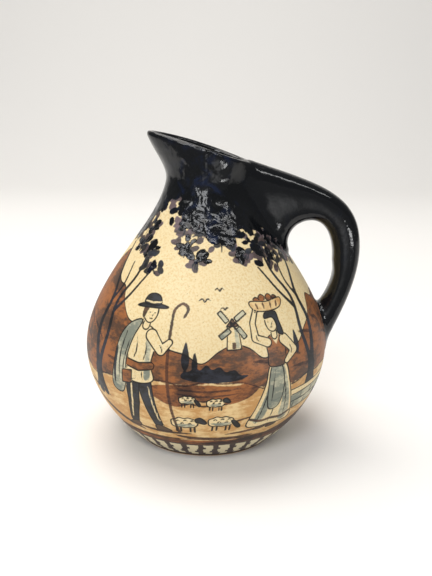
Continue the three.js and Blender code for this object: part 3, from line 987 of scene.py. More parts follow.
@dataclass(frozen=True)
class BakeMap:
    """Where each face lies on the baked texture: wall, inside and handle unrolled, foot and floor as discs."""

    vessel: Vessel
    handle: Handle
    hub: tuple[float, float] = (72.0, 118.0)
    wall_rows: tuple[float, float] = (0.012, 0.6)
    inside_at: tuple[float, float] = (0.01, 0.635)
    inside_size: tuple[float, float] = (0.6, 0.355)
    strip_at: tuple[float, float] = (0.63, 0.635)
    strip_size: tuple[float, float] = (0.36, 0.17)
    under_at: tuple[float, float] = (0.72, 0.905)
    floor_at: tuple[float, float] = (0.905, 0.905)
    disc_scale: float = 0.0016

    def unwrap(self, mesh: bpy.types.Mesh, points: Array, strap: Array) -> None:
        """Writes the UV map OFBake.

        Formula: the wall by its angle from the back and its arc length, the inside by angle and height, the handle
        by its angle about the finger hole and round its own middle, and the discs by x and y. Angles are taken from
        each face's own middle, so that no face spans the map.

        Args:
            mesh: the finished mesh.
            points: its points in millimetres.
            strap: whether each point is on the handle.
        """
        corners = np.empty(len(mesh.loops), int)
        totals = np.empty(len(mesh.polygons), int)
        mesh.loops.foreach_get("vertex_index", corners)
        mesh.polygons.foreach_get("loop_total", totals)
        face = np.repeat(np.arange(len(totals)), totals)
        starts = np.concatenate([[0], np.cumsum(totals)[:-1]])
        middle = (np.add.reduceat(points[corners], starts, axis=0) / totals[:, None])[face]
        on_strap = (np.add.reduceat(strap[corners].astype(float), starts) / totals > 0.5)[face]
        spot = points[corners]
        outward = self.vessel.across(middle)[0]
        _, _, height = self.vessel.unshape(spot)
        out_at, above = self.vessel.across(spot)
        front = np.arctan2(middle[:, 1], middle[:, 0]) + math.pi / 2
        turn = wrap(front) + wrap(np.arctan2(spot[:, 1], spot[:, 0]) + math.pi / 2 - front)
        round_share = 0.5 + 0.49 * turn / math.pi
        half = self.vessel.wall / 2
        lip = half * np.arctan2(np.maximum(above, 0), np.where(outward > 0, 1, -1) * out_at)
        lip = np.where(above > 0, lip, 0.0)
        climb = self.vessel.climb_at(height) + 1.5 * np.minimum(height - self.vessel.foot_edge, 0) + lip
        rise = climb / (self.vessel.girth[-1] + 2 * half)
        wall = np.stack([round_share, self.wall_rows[0] + self.wall_rows[1] * rise], 1)
        depth = (height + lip) / (1.2 * self.vessel.mouth_height)
        inside = np.stack([round_share, depth], 1) * self.inside_size + self.inside_at
        rails = sum(self.handle.rails) / 2 - self.hub
        way = np.unwrap(np.arctan2(rails[:, 1], rails[:, 0]))
        order = np.argsort(way)
        arm, at = middle[:, [0, 2]] - self.hub, spot[:, [0, 2]] - self.hub
        around = np.arctan2(arm[:, 1], arm[:, 0])
        around = np.where(around < way.min() - 1.0, around + 2 * math.pi, around)
        along = around + wrap(np.arctan2(at[:, 1], at[:, 0]) - around)
        centre = np.interp(along, way[order], np.hypot(*rails.T)[order])
        ring = np.arctan2(middle[:, 1], np.hypot(*arm.T) - np.interp(around, way[order], np.hypot(*rails.T)[order]))
        ring = ring + wrap(np.arctan2(spot[:, 1], np.hypot(*at.T) - centre) - ring)
        span = (along - way.min() + 0.35) / (np.ptp(way) + 0.9)
        strip = np.stack([span, 0.5 + 0.49 * ring / math.pi], 1) * self.strip_size + self.strip_at
        under = self.disc_scale * spot[:, :2] + self.under_at
        floor = self.disc_scale * spot[:, :2] + self.floor_at
        low = middle[:, 2] < 0.02
        flat = (outward < 0) & (np.abs(middle[:, 2] - self.vessel.floor) < 0.1)
        flat &= np.hypot(middle[:, 0], middle[:, 1]) < self.vessel.foot_radius + 8
        uv = np.where((outward > 0)[:, None], wall, inside)
        for chosen, part in ((on_strap, strip), (flat, floor), (low, under)):
            uv = np.where(chosen[:, None], part, uv)
        mesh.uv_layers.new(name="OFBake").data.foreach_set("uv", uv.astype(np.float32).ravel())


@dataclass(frozen=True)
class Clay:
    """The whole pitcher in one skin: the vessel and its handle, with the joins smoothed as with a wet thumb."""

    vessel: Vessel
    handle: Handle
    fillet_heights: tuple[float, ...] = (100.0, 124.0, 150.0)
    fillets: tuple[float, ...] = (5.0, 2.0, 10.0)
    skin_reach: float = 14.0
    weld: float = 0.1
    smoothing_rounds: int = 10
    probe: float = 0.05
    bell: float = 1.5
    glaze_round_handle: float = 2.5
    strap_from: tuple[float, float] = (10.0, 45.0)
    lumps_rise: tuple[float, float] = (112.0, 128.0)
    throat_rise: tuple[float, float] = (150.0, 172.0)
    throat_turn_deg: float = -8.0
    throat_spread_deg: float = 36.0
    web_rise: tuple[float, float] = (122.0, 140.0)
    web_span: tuple[float, float] = (18.0, 34.0)
    web_end: float = 72.0
    calm: float = 0.9

    def join(self) -> bpy.types.Mesh:
        """One closed mesh of both parts, with doubles merged and many-sided faces cut into triangles."""
        parts = [make_object(name, *part.mesh()) for name, part in (("vessel", self.vessel), ("strap", self.handle))]
        union = parts[0].modifiers.new("join", "BOOLEAN")
        union.operation, union.solver, union.object = "UNION", "EXACT", parts[1]
        graph = bpy.context.evaluated_depsgraph_get()
        mesh = bpy.data.meshes.new_from_object(parts[0].evaluated_get(graph))
        for part in parts:
            bpy.data.objects.remove(part)
        shell = bmesh.new()
        shell.from_mesh(mesh)
        bmesh.ops.remove_doubles(shell, verts=shell.verts, dist=self.weld * MM)
        bmesh.ops.triangulate(shell, faces=[face for face in shell.faces if len(face.verts) > 4])
        shell.to_mesh(mesh)
        shell.free()
        return mesh

    def reach(self, points: Array) -> Array:
        """Width of the fillet in millimetres: a value at each of three heights, and none on the inner wall."""
        half_wall = self.vessel.wall / 2
        outside = smoothstep(sum(self.vessel.across(points)), -half_wall, half_wall)
        return np.maximum(np.interp(points[:, 2], self.fillet_heights, self.fillets) * outside, self.probe)

    def from_strap(self, points: Array) -> tuple[Array, Array]:
        """Signed distance to the strap's skin, and its gradient.

        Formula: how far a point stands off the plane of each skin point, and that plane's normal, as means weighted
        by a bell curve of the distance, which is taken over the nearest one's so that no weight vanishes.

        Args:
            points: rows of x, y and z.

        Returns:
            Millimetres, and unit normals. Both are far off for points that aren't near the handle.
        """
        skin, normals = (part.astype(np.float32) for part in self.handle.skin())
        joining = np.abs(self.vessel.distance(skin)) < self.skin_reach
        skin, normals = skin[joining], normals[joining]
        gaps, slopes = [], []
        for some in np.array_split(points.astype(np.float32), max(1, len(points) // 2000)):
            apart = (some**2).sum(1)[:, None] + (skin**2).sum(1)[None] - 2 * some @ skin.T
            share = np.exp((apart.min(1)[:, None] - apart) / (2 * self.bell**2))
            share /= share.sum(1)[:, None]
            gaps.append((some * (share @ normals)).sum(1) - share @ (skin * normals).sum(1))
            slopes.append(share @ normals)
        slope = np.vstack(slopes)
        return np.hstack(gaps).astype(float), slope / np.linalg.norm(slope, axis=1)[:, None]

    def from_vessel(self, points: Array) -> tuple[Array, Array]:
        """Signed distance to the vessel's wall, and its gradient from differences along the three axes."""
        at = self.vessel.distance(points)
        steps = [self.vessel.distance(points + self.probe * axis) - at for axis in np.eye(3)]
        return at, np.stack(steps, 1) / self.probe

    def from_skin(self, points: Array) -> tuple[Array, Array]:
        """Signed distance to the joined skin, and its gradient.

        Formula: the smooth least of two distances, their mix by a share h less reach h (1 - h), fills the corner.

        Args:
            points: rows of x, y and z near the joins.

        Returns:
            Millimetres, and gradients of about unit length.
        """
        (one, up_one), (two, up_two) = self.from_vessel(points), self.from_strap(points)
        crest = smoothstep(up_two[:, 2], 0.5, 0.9) * smoothstep(points[:, 2], 170, 180)
        reach = np.maximum(self.reach(points) * (1 - 0.9 * crest), self.probe)
        share = np.clip(0.5 + 0.5 * (one - two) / reach, 0, 1)
        at = one * (1 - share) + two * share - reach * share * (1 - share)
        return at, up_one * (1 - share)[:, None] + up_two * share[:, None]

    def smooth(self, points: Array, edges: Array) -> tuple[Array, Array, Array]:
        """Fills the corners between vessel and handle.

        Formula: points near the seam go halfway to their neighbours' mean and then along the gradient to where the
        distance is zero, some rounds over.

        Args:
            points: all points of the joined mesh.
            edges: pairs of point numbers.

        Returns:
            The points, the numbers of those near the seam, and their normals.
        """
        points = points.copy()
        reach = self.reach(points) + 1
        close = np.abs(self.vessel.distance(points)) < reach
        close &= sum(self.vessel.across(points)) > -self.vessel.wall / 4
        close &= (points[:, 0] > 0) & (points[:, 2] > self.handle.tail_height - self.fillets[0])
        close &= np.abs(points[:, 1]) < self.handle.root_width
        found = np.flatnonzero(close)
        found = found[np.abs(self.from_strap(points[found])[0]) < reach[found]]
        place = np.full(len(points), -1)
        place[found] = np.arange(len(found))
        ways = np.vstack([edges, edges[:, ::-1]])
        ways = ways[place[ways[:, 0]] >= 0]
        count = np.bincount(place[ways[:, 0]], minlength=len(found))[:, None]
        for _ in range(self.smoothing_rounds):
            total = np.zeros((len(found), 3))
            np.add.at(total, place[ways[:, 0]], points[ways[:, 1]])
            moved = (points[found] + total / count) / 2
            at, up = self.from_skin(moved)
            points[found] = moved - up * np.clip(at / (up**2).sum(1), -1, 1)[:, None]
        _, up = self.from_skin(points[found])
        return points, found, up / np.linalg.norm(up, axis=1)[:, None]

    def build(self) -> bpy.types.Object:
        """The finished piece, smooth shaded, with the fillets' own normals."""
        mesh = self.join()
        points = np.empty(len(mesh.vertices) * 3)
        edges = np.empty(len(mesh.edges) * 2, int)
        mesh.vertices.foreach_get("co", points)
        mesh.edges.foreach_get("vertices", edges)
        points, near, upright = self.smooth(points.reshape(-1, 3) / MM, edges.reshape(-1, 2))
        mesh.vertices.foreach_set("co", (points * MM).ravel())
        mesh.shade_smooth()
        mesh.update()
        normals = np.empty(len(mesh.vertices) * 3)
        mesh.vertex_normals.foreach_get("vector", normals)
        normals = normals.reshape(-1, 3)
        normals[near] = upright
        mesh.normals_split_custom_set_from_vertices(normals.tolist())
        mesh.name = "stoneware_pitcher"
        self.decorate(mesh, points)
        made = bpy.data.objects.new("stoneware_pitcher", mesh)
        bpy.context.scene.collection.objects.link(made)
        return made

    def decorate(self, mesh: bpy.types.Mesh, points: Array) -> None:
        """Paints the picture, lets the glaze run round the handle and over the inside, and maps the bake.

        Formula: the glaze is lumpy over the leaves, and calm on the throat away from its front by a bell curve of
        the angle, on the web and on the handle.

        Args:
            mesh: the joined and smoothed mesh, which gets a float attribute for each layer and a UV map.
            points: its points in millimetres.
        """
        outward, _ = self.vessel.across(points)
        radius, angle, height = self.vessel.unshape(points)
        gap = np.full(len(points), np.inf)
        side = (points[:, 0] > self.strap_from[0]) & (points[:, 2] > self.strap_from[1]) & (outward > 0)
        gap[side] = self.from_strap(points[side])[0]
        strap = (gap < self.vessel.distance(points)) | (points[:, 0] > self.vessel.belly_radius + 1)
        wall = (outward > 0) & (points[:, 2] > self.vessel.foot_edge / 2) & ~strap
        climb = np.where(wall, self.vessel.climb_at(height), -1.0)
        canvas = Canvas(angle, climb, np.maximum(radius, 1.0))
        Picture().paint(canvas)
        glaze = np.maximum(canvas.layers[Pigment.GLAZE], self.glaze_round_handle - gap)
        inside = (outward <= 0) & (points[:, 2] > self.vessel.floor / 2)
        layers = {f"paint_{pigment.value}": layer for pigment, layer in canvas.layers.items()}
        layers["paint_glaze"] = np.where(strap | inside, -canvas.far, glaze)
        layers |= {f"contour_{number}": contour for number, contour in enumerate(canvas.contours)}
        layers["climb"] = climb
        turned = np.degrees(wrap(angle + math.pi / 2))
        off = (turned - self.throat_turn_deg) / self.throat_spread_deg
        throat = smoothstep(height, *self.throat_rise) * (1 - np.exp(-(off**2)))
        web = smoothstep(points[:, 0], *self.web_span) * smoothstep(height, *self.web_rise)
        web = np.maximum(web, points[:, 0] > self.web_end)
        leafy = (1 - self.calm * throat) * (1 - self.calm * web) * (outward > 0)
        layers["leafy"] = smoothstep(height, *self.lumps_rise) * leafy
        for name, layer in layers.items():
            mesh.attributes.new(name, "FLOAT", "POINT").data.foreach_set("value", layer.astype(np.float32))
        BakeMap(self.vessel, self.handle).unwrap(mesh, points, strap)


def linear(hex_colour: str) -> tuple[float, float, float, float]:
    """Turns an sRGB hex value into linear red, green, blue and full alpha."""
    parts = [int(hex_colour[i : i + 2], 16) / 255 for i in (1, 3, 5)]
    return (*[c / 12.92 if c <= 0.04045 else ((c + 0.055) / 1.055) ** 2.4 for c in parts], 1.0)


def add_node(tree: bpy.types.NodeTree, kind: str, feeds: dict | None = None, **settings: object) -> bpy.types.Node:
    """Adds a node with its settings and links.

    Args:
        tree: the node tree.
        kind: the node's type name.
        feeds: what each input gets, a value or another node's output, by name or number.
        settings: the node's own properties.

    Returns:
        The node.
    """
    node = tree.nodes.new(kind)
    for name, value in settings.items():
        setattr(node, name, value)
    for socket, value in (feeds or {}).items():
        if isinstance(value, bpy.types.NodeSocket):
            tree.links.new(value, node.inputs[socket])
        else:
            node.inputs[socket].default_value = value
    return node


@dataclass(frozen=True)
class Wash:
    """A pigment as fired.

    It has a colour where it is thin and one where it is thick, a cover, the softness of its edge and how far the edge
    wanders, both in millimetres.
    """

    pigment: Pigment
    thin: str
    thick: str
    cover: float
    soft: float
    wander: float


@dataclass(frozen=True)
class PaintedStoneware:
    """Thrown stoneware, painted under a satin glaze and dipped in a black-blue gloss glaze, once fired.

    The clay gives the eye a warm cream with iron specks and a dull sheen. The oxides sink in, so they look like
    watercolour. The gloss glaze is thick, nearly black, blue where it pools, and lumpy over the leaves.
    """

    cream: str = "#EBD9AC"
    cream_warm: str = "#DFC48E"
    speck: str = "#A98A5C"
    raw_clay: str = "#D6B488"
    raw_clay_burnt: str = "#A98257"
    border_dark: str = "#392A27"
    border_pale: str = "#E9DDB9"
    gloss: str = "#0C0E11"
    gloss_blue: str = "#14213F"
    washes: tuple[Wash, ...] = (
        Wash(Pigment.OCHRE, "#E3C58E", "#BF8B4B", 0.92, 0.9, 1.1),
        Wash(Pigment.RUST, "#9B5824", "#432218", 0.95, 0.35, 0.45),
        Wash(Pigment.MIST, "#C6C2A6", "#6C7870", 0.9, 0.5, 0.5),
        Wash(Pigment.UMBER, "#5C3826", "#241511", 0.94, 0.3, 0.45),
        Wash(Pigment.PLUM, "#62505A", "#33262C", 0.96, 0.25, 0.35),
        Wash(Pigment.SLATE, "#262D39", "#0A0C10", 0.98, 0.25, 0.25),
        Wash(Pigment.INK, "#1C1613", "#0B0909", 0.97, 0.22, 0.22),
        Wash(Pigment.GLAZE, "#0C0E11", "#0C0E11", 1.0, 0.22, 0.5),
    )
    pen_half: float = 0.42
    pen_swell: float = 0.5
    motifs: int = 36
    border_low: float = 2.8
    border_high: float = 19.5
    border_top: float = 21.6
    step_halves: tuple[float, ...] = (0.25, 0.22, 0.31, 0.27, 0.33)
    step_shifts: tuple[float, ...] = (0.60, 0.42, 0.46, 0.57, 0.50)
    clay_grain: float = 1.2
    cloud: float = 21.0
    brush: float = 6.5
    lump: float = 6.5
    ripple: float = 11.0
    shine_clay: float = 0.5
    shine_gloss: float = 0.09
    shine_lumps: float = 0.13
    shine_raw: float = 0.85
    raw_top: float = 0.9
    raw_full: float = 0.5

    def build(self) -> bpy.types.Material:
        """The material, on one shader whose colour, roughness and relief change with the painted layers."""
        material = bpy.data.materials.new("glazed_stoneware")
        material.use_nodes = True
        tree = material.node_tree
        surface = tree.nodes["Principled BSDF"]
        surface.inputs["IOR"].default_value = 1.5
        surface.inputs["Specular IOR Level"].default_value = 0.4
        place = add_node(tree, "ShaderNodeTexCoord").outputs["Object"]
        askew = add_node(tree, "ShaderNodeMapping", {"Vector": place, "Rotation": (0.6, 0.4, 0.9)}).outputs["Vector"]
        noises = {}
        for name, size, detail, swirl in (
            ("grain", self.clay_grain, 2.0, 0.0), ("cloud", self.cloud, 3.0, 0.0), ("fray", 1.7, 2.0, 0.0),
            ("lump", self.lump, 0.5, 0.7), ("ripple", self.ripple, 1.0, 0.3), ("pool", 9.0, 2.0, 0.6),
        ):
            feeds = {"Vector": askew, "Scale": 1 / (size * MM), "Detail": detail, "Distortion": swirl}
            noises[name] = add_node(tree, "ShaderNodeTexNoise", feeds).outputs["Fac"]
        stretched = add_node(tree, "ShaderNodeMapping", {"Vector": place, "Scale": (1.0, 1.0, 2.2)}).outputs["Vector"]
        feeds = {"Vector": stretched, "Scale": 1 / (self.brush * MM), "Detail": 6.0, "Roughness": 0.7}
        brush = add_node(tree, "ShaderNodeTexNoise", feeds).outputs["Fac"]
        thickness = add_node(tree, "ShaderNodeMath", {0: noises["cloud"], 1: brush}, operation="ADD").outputs[0]
        load = {"Value": thickness, "From Min": 0.81, "From Max": 1.13}
        thickness = add_node(tree, "ShaderNodeMapRange", load, interpolation_type="SMOOTHSTEP").outputs["Result"]
        colour = self.clay(tree, noises, place)
        glaze = None
        for wash in self.washes:
            depth = add_node(tree, "ShaderNodeAttribute", attribute_name=f"paint_{wash.pigment.value}").outputs["Fac"]
            frayed = {0: noises["fray"], 1: 2 * wash.wander, 2: depth}
            depth = add_node(tree, "ShaderNodeMath", frayed, operation="MULTIPLY_ADD").outputs[0]
            low, high = wash.wander - wash.soft, wash.wander + wash.soft
            edge = {"Value": depth, "From Min": low, "From Max": high, "To Max": wash.cover}
            glaze = add_node(tree, "ShaderNodeMapRange", edge, interpolation_type="SMOOTHSTEP").outputs["Result"]
            tint = {0: thickness, 6: linear(wash.thin), 7: linear(wash.thick)}
            if wash.pigment is Pigment.INK:
                lines = {0: glaze, 1: self.pen(tree, noises)}
                glaze = add_node(tree, "ShaderNodeMath", lines, operation="MAXIMUM").outputs[0]
            if wash.pigment is Pigment.GLAZE:
                colour = self.border(tree, colour, noises, place)
                pool = {"Value": noises["pool"], "From Min": 0.46, "From Max": 0.84, "To Max": 0.95}
                pool = add_node(tree, "ShaderNodeMapRange", pool, interpolation_type="SMOOTHSTEP").outputs["Result"]
                leafy = add_node(tree, "ShaderNodeAttribute", attribute_name="leafy").outputs["Fac"]
                pool = add_node(tree, "ShaderNodeMath", {0: pool, 1: leafy}, operation="MULTIPLY").outputs[0]
                tint = {0: pool, 6: linear(self.gloss), 7: linear(self.gloss_blue)}
            mixed = add_node(tree, "ShaderNodeMix", tint, data_type="RGBA").outputs[2]
            colours = {0: glaze, 6: colour, 7: mixed}
            colour = add_node(tree, "ShaderNodeMix", colours, data_type="RGBA").outputs[2]
        leafy = add_node(tree, "ShaderNodeAttribute", attribute_name="leafy").outputs["Fac"]
        lumpy = {"Value": leafy, "To Min": self.shine_gloss, "To Max": self.shine_lumps}
        lumpy = add_node(tree, "ShaderNodeMapRange", lumpy).outputs["Result"]
        shine = {"Value": glaze, "To Min": self.shine_clay, "To Max": lumpy}
        shine = add_node(tree, "ShaderNodeMapRange", shine).outputs["Result"]
        colour, shine = self.raw_foot(tree, colour, shine, noises)
        tree.links.new(colour, surface.inputs["Base Color"])
        tree.links.new(shine, surface.inputs["Roughness"])
        self.relief(tree, surface, noises, glaze)
        return material

    def pen(self, tree: bpy.types.NodeTree, noises: dict) -> bpy.types.NodeSocket:
        """How dark the pen lines are: full within the pen's half width of any contour's zero."""
        nearest = None
        for number in range(4):
            line = add_node(tree, "ShaderNodeAttribute", attribute_name=f"contour_{number}").outputs["Fac"]
            line = add_node(tree, "ShaderNodeMath", {0: line}, operation="ABSOLUTE").outputs[0]
            if nearest is not None:
                line = add_node(tree, "ShaderNodeMath", {0: nearest, 1: line}, operation="MINIMUM").outputs[0]
            nearest = line
        press = {0: noises["pool"], 1: -self.pen_swell, 2: nearest}
        nearest = add_node(tree, "ShaderNodeMath", press, operation="MULTIPLY_ADD").outputs[0]
        high, low = self.pen_half - self.pen_swell / 2 + 0.15, self.pen_half - self.pen_swell / 2 - 0.15
        line = {"Value": nearest, "From Min": high, "From Max": low, "To Max": 0.97}
        return add_node(tree, "ShaderNodeMapRange", line).outputs["Result"]

    def clay(self, tree: bpy.types.NodeTree, noises: dict, place: bpy.types.NodeSocket) -> bpy.types.NodeSocket:
        """The clay's colour: cream that drifts to a warmer one, fine grain, and scattered iron specks."""
        drift = {"Value": noises["cloud"], "From Min": 0.35, "From Max": 0.8, "To Max": 0.45}
        drift = add_node(tree, "ShaderNodeMapRange", drift).outputs["Result"]
        colours = {0: drift, 6: linear(self.cream), 7: linear(self.cream_warm)}
        colour = add_node(tree, "ShaderNodeMix", colours, data_type="RGBA").outputs[2]
        grain = {"Value": noises["grain"], "From Min": 0.42, "From Max": 0.68}
        grain = add_node(tree, "ShaderNodeMapRange", grain).outputs["Result"]
        colours = {0: grain, 6: colour, 7: linear(self.cream_warm)}
        colour = add_node(tree, "ShaderNodeMix", colours, data_type="RGBA").outputs[2]
        cells = add_node(tree, "ShaderNodeTexVoronoi", {"Vector": place, "Scale": 1 / (3.6 * MM)})
        speck = {"Value": cells.outputs["Distance"], "From Min": 0.14, "From Max": 0.06, "To Max": 0.55}
        speck = add_node(tree, "ShaderNodeMapRange", speck).outputs["Result"]
        colours = {0: speck, 6: colour, 7: linear(self.speck)}
        return add_node(tree, "ShaderNodeMix", colours, data_type="RGBA").outputs[2]

    def border(
        self, tree: bpy.types.NodeTree, under: bpy.types.NodeSocket, noises: dict, place: bpy.types.NodeSocket
    ) -> bpy.types.NodeSocket:
        """The stepped border over the foot.

        Formula: a cell's share is the fraction of the angle times the number of motifs. A motif is pale where the
        share lies within its row's half width of its row's middle.
        """
        parts = add_node(tree, "ShaderNodeSeparateXYZ", {"Vector": place}).outputs
        angle = add_node(tree, "ShaderNodeMath", {0: parts["Y"], 1: parts["X"]}, operation="ARCTAN2").outputs[0]
        wobble = {0: noises["cloud"], 1: 0.5, 2: 10.0}
        wobble = add_node(tree, "ShaderNodeMath", wobble, operation="MULTIPLY_ADD").outputs[0]
        cells = {0: angle, 1: self.motifs / (2 * math.pi), 2: wobble}
        cells = add_node(tree, "ShaderNodeMath", cells, operation="MULTIPLY_ADD").outputs[0]
        share = add_node(tree, "ShaderNodeMath", {0: cells}, operation="FRACT").outputs[0]
        climb = add_node(tree, "ShaderNodeAttribute", attribute_name="climb").outputs["Fac"]
        frayed = {0: noises["fray"], 1: 1.0, 2: climb}
        climb = add_node(tree, "ShaderNodeMath", frayed, operation="MULTIPLY_ADD").outputs[0]
        low, high, top = (edge + 0.5 for edge in (self.border_low, self.border_high, self.border_top))
        rows = {"Value": climb, "From Min": low, "From Max": high}
        rows = add_node(tree, "ShaderNodeMapRange", rows).outputs["Result"]
        steps = []
        for values in (self.step_halves, self.step_shifts):
            ramp = add_node(tree, "ShaderNodeValToRGB", {"Fac": rows})
            ramp.color_ramp.interpolation = "CONSTANT"
            while len(ramp.color_ramp.elements) < len(values):
                ramp.color_ramp.elements.new(0.5)
            for element, (number, value) in zip(ramp.color_ramp.elements, enumerate(values)):
                element.position = number / len(values)
                element.color = (value, value, value, 1.0)
            steps.append(ramp.outputs["Color"])
        off = add_node(tree, "ShaderNodeMath", {0: share, 1: steps[1]}, operation="SUBTRACT").outputs[0]
        off = add_node(tree, "ShaderNodeMath", {0: off}, operation="ABSOLUTE").outputs[0]
        depth = add_node(tree, "ShaderNodeMath", {0: steps[0], 1: off}, operation="SUBTRACT").outputs[0]
        pale = {"Value": depth, "From Min": -0.02, "From Max": 0.03, "To Max": 0.95}
        pale = add_node(tree, "ShaderNodeMapRange", pale, interpolation_type="SMOOTHSTEP").outputs["Result"]
        for first, second in ((low - 0.2, low + 0.2), (high + 0.2, high - 0.2)):
            limit = {"Value": climb, "From Min": first, "From Max": second}
            limit = add_node(tree, "ShaderNodeMapRange", limit).outputs["Result"]
            pale = add_node(tree, "ShaderNodeMath", {0: pale, 1: limit}, operation="MULTIPLY").outputs[0]
        colours = {0: pale, 6: linear(self.border_dark), 7: linear(self.border_pale)}
        band = add_node(tree, "ShaderNodeMix", colours, data_type="RGBA").outputs[2]
        inside = {"Value": climb, "From Min": top + 0.25, "From Max": top - 0.25, "To Max": 0.96}
        inside = add_node(tree, "ShaderNodeMapRange", inside).outputs["Result"]
        colours = {0: inside, 6: under, 7: band}
        colour = add_node(tree, "ShaderNodeMix", colours, data_type="RGBA").outputs[2]
        return colour

    def raw_foot(
        self, tree: bpy.types.NodeTree, colour: bpy.types.NodeSocket, shine: bpy.types.NodeSocket, noises: dict
    ) -> tuple[bpy.types.NodeSocket, bpy.types.NodeSocket]:
        """The unglazed underside: matt clay that drifts from pale to burnt, with grain. Gives colour and roughness."""
        place = add_node(tree, "ShaderNodeTexCoord").outputs["Object"]
        height = add_node(tree, "ShaderNodeSeparateXYZ", {"Vector": place}).outputs["Z"]
        raw = {"Value": height, "From Min": self.raw_top * MM, "From Max": self.raw_full * MM}
        raw = add_node(tree, "ShaderNodeMapRange", raw).outputs["Result"]
        mottle = add_node(tree, "ShaderNodeMath", {0: noises["grain"], 1: noises["cloud"]}, operation="ADD").outputs[0]
        mottle = {"Value": mottle, "From Min": 0.75, "From Max": 1.3}
        mottle = add_node(tree, "ShaderNodeMapRange", mottle).outputs["Result"]
        colours = {0: mottle, 6: linear(self.raw_clay), 7: linear(self.raw_clay_burnt)}
        clay = add_node(tree, "ShaderNodeMix", colours, data_type="RGBA").outputs[2]
        colours = {0: raw, 6: colour, 7: clay}
        colour = add_node(tree, "ShaderNodeMix", colours, data_type="RGBA").outputs[2]
        shine = {"Value": raw, "To Min": shine, "To Max": self.shine_raw}
        return colour, add_node(tree, "ShaderNodeMapRange", shine).outputs["Result"]

    def relief(
        self, tree: bpy.types.NodeTree, surface: bpy.types.Node, noises: dict, glaze: bpy.types.NodeSocket
    ) -> None:
        """The fine relief in millimetres: grain on the clay, and the gloss glaze's thickness, ripples and lumps."""
        leafy = add_node(tree, "ShaderNodeAttribute", attribute_name="leafy").outputs["Fac"]
        lumps = {0: noises["lump"], 1: leafy}
        lumps = add_node(tree, "ShaderNodeMath", lumps, operation="MULTIPLY").outputs[0]
        ripples = {0: noises["ripple"], 1: 0.35, 2: 0.2}
        thick = add_node(tree, "ShaderNodeMath", ripples, operation="MULTIPLY_ADD").outputs[0]
        thick = add_node(tree, "ShaderNodeMath", {0: lumps, 1: 1.4, 2: thick}, operation="MULTIPLY_ADD").outputs[0]
        peel = add_node(tree, "ShaderNodeMath", {0: leafy, 1: 0.08, 2: 0.05}, operation="MULTIPLY_ADD").outputs[0]
        peel = {0: noises["fray"], 1: peel, 2: thick}
        thick = add_node(tree, "ShaderNodeMath", peel, operation="MULTIPLY_ADD").outputs[0]
        thick = add_node(tree, "ShaderNodeMath", {0: thick, 1: glaze}, operation="MULTIPLY").outputs[0]
        height = {0: noises["grain"], 1: 0.05, 2: thick}
        height = add_node(tree, "ShaderNodeMath", height, operation="MULTIPLY_ADD").outputs[0]
        bump = add_node(tree, "ShaderNodeBump", {"Height": height, "Distance": MM, "Strength": 1.0})
        tree.links.new(bump.outputs["Normal"], surface.inputs["Normal"])


@dataclass(frozen=True)
class Lamp:
    """A soft box: a square area lamp at a place, aimed at a point, in metres and watts."""

    name: str
    place: tuple[float, float, float]
    size: float
    power: float
    colour: str
    aim: tuple[float, float, float] = (0.0, 0.0, 0.1)

    def build(self) -> bpy.types.Object:
        """The lamp in the scene."""
        light = bpy.data.lights.new(self.name, "AREA")
        light.shape, light.size, light.energy = "SQUARE", self.size, self.power
        light.color = linear(self.colour)[:3]
        made = bpy.data.objects.new(self.name, light)
        made.location = self.place
        made.rotation_euler = (Vector(self.aim) - Vector(self.place)).to_track_quat("-Z", "Y").to_euler()
        bpy.context.scene.collection.objects.link(made)
        return made


@dataclass(frozen=True)
class Card:
    """A glowing card that only the glaze mirrors, as it would mirror whoever stood there, or a strip of window.

    Lengths are millimetres. The card is level in X, and one grey unless it has a patch.
    """

    name: str
    low: tuple[float, float, float]
    high: tuple[float, float, float]
    grey: float
    patch: tuple[float, float] = (0.0, 0.0)
    patch_radius: float = 1.0
    patch_grey: float = 0.0

    def build(self) -> bpy.types.Object:
        """The card in the scene.

        Formula: its glow is its grey, and more by a bell curve of the distance in X and Z to its patch.
        """
        across, up = np.meshgrid(np.linspace(0, 1, 101), np.linspace(0, 1, 31))
        low, high = np.array(self.low), np.array(self.high)
        points = np.stack([across, up, up], -1).reshape(-1, 3) * (high - low) + low
        first = (np.arange(30)[:, None] * 101 + np.arange(100)).ravel()
        made = make_object(self.name, points, [np.stack([first, first + 1, first + 102, first + 101], 1)])
        made.visible_camera = made.visible_diffuse = made.visible_shadow = made.visible_transmission = False
        off = np.hypot(points[:, 0] - self.patch[0], points[:, 2] - self.patch[1]) / self.patch_radius
        glow = self.grey + self.patch_grey * np.exp(-(off**2))
        made.data.attributes.new("glow", "FLOAT", "POINT").data.foreach_set("value", glow.astype(np.float32))
        material = bpy.data.materials.new(self.name)
        material.use_nodes = True
        tree = material.node_tree
        surface = tree.nodes["Principled BSDF"]
        surface.inputs["Base Color"].default_value = (0.0, 0.0, 0.0, 1.0)
        surface.inputs["Emission Color"].default_value = (1.0, 1.0, 1.0, 1.0)
        glow = add_node(tree, "ShaderNodeAttribute", attribute_name="glow").outputs["Fac"]
        tree.links.new(glow, surface.inputs["Emission Strength"])
        made.data.materials.append(material)
        return made


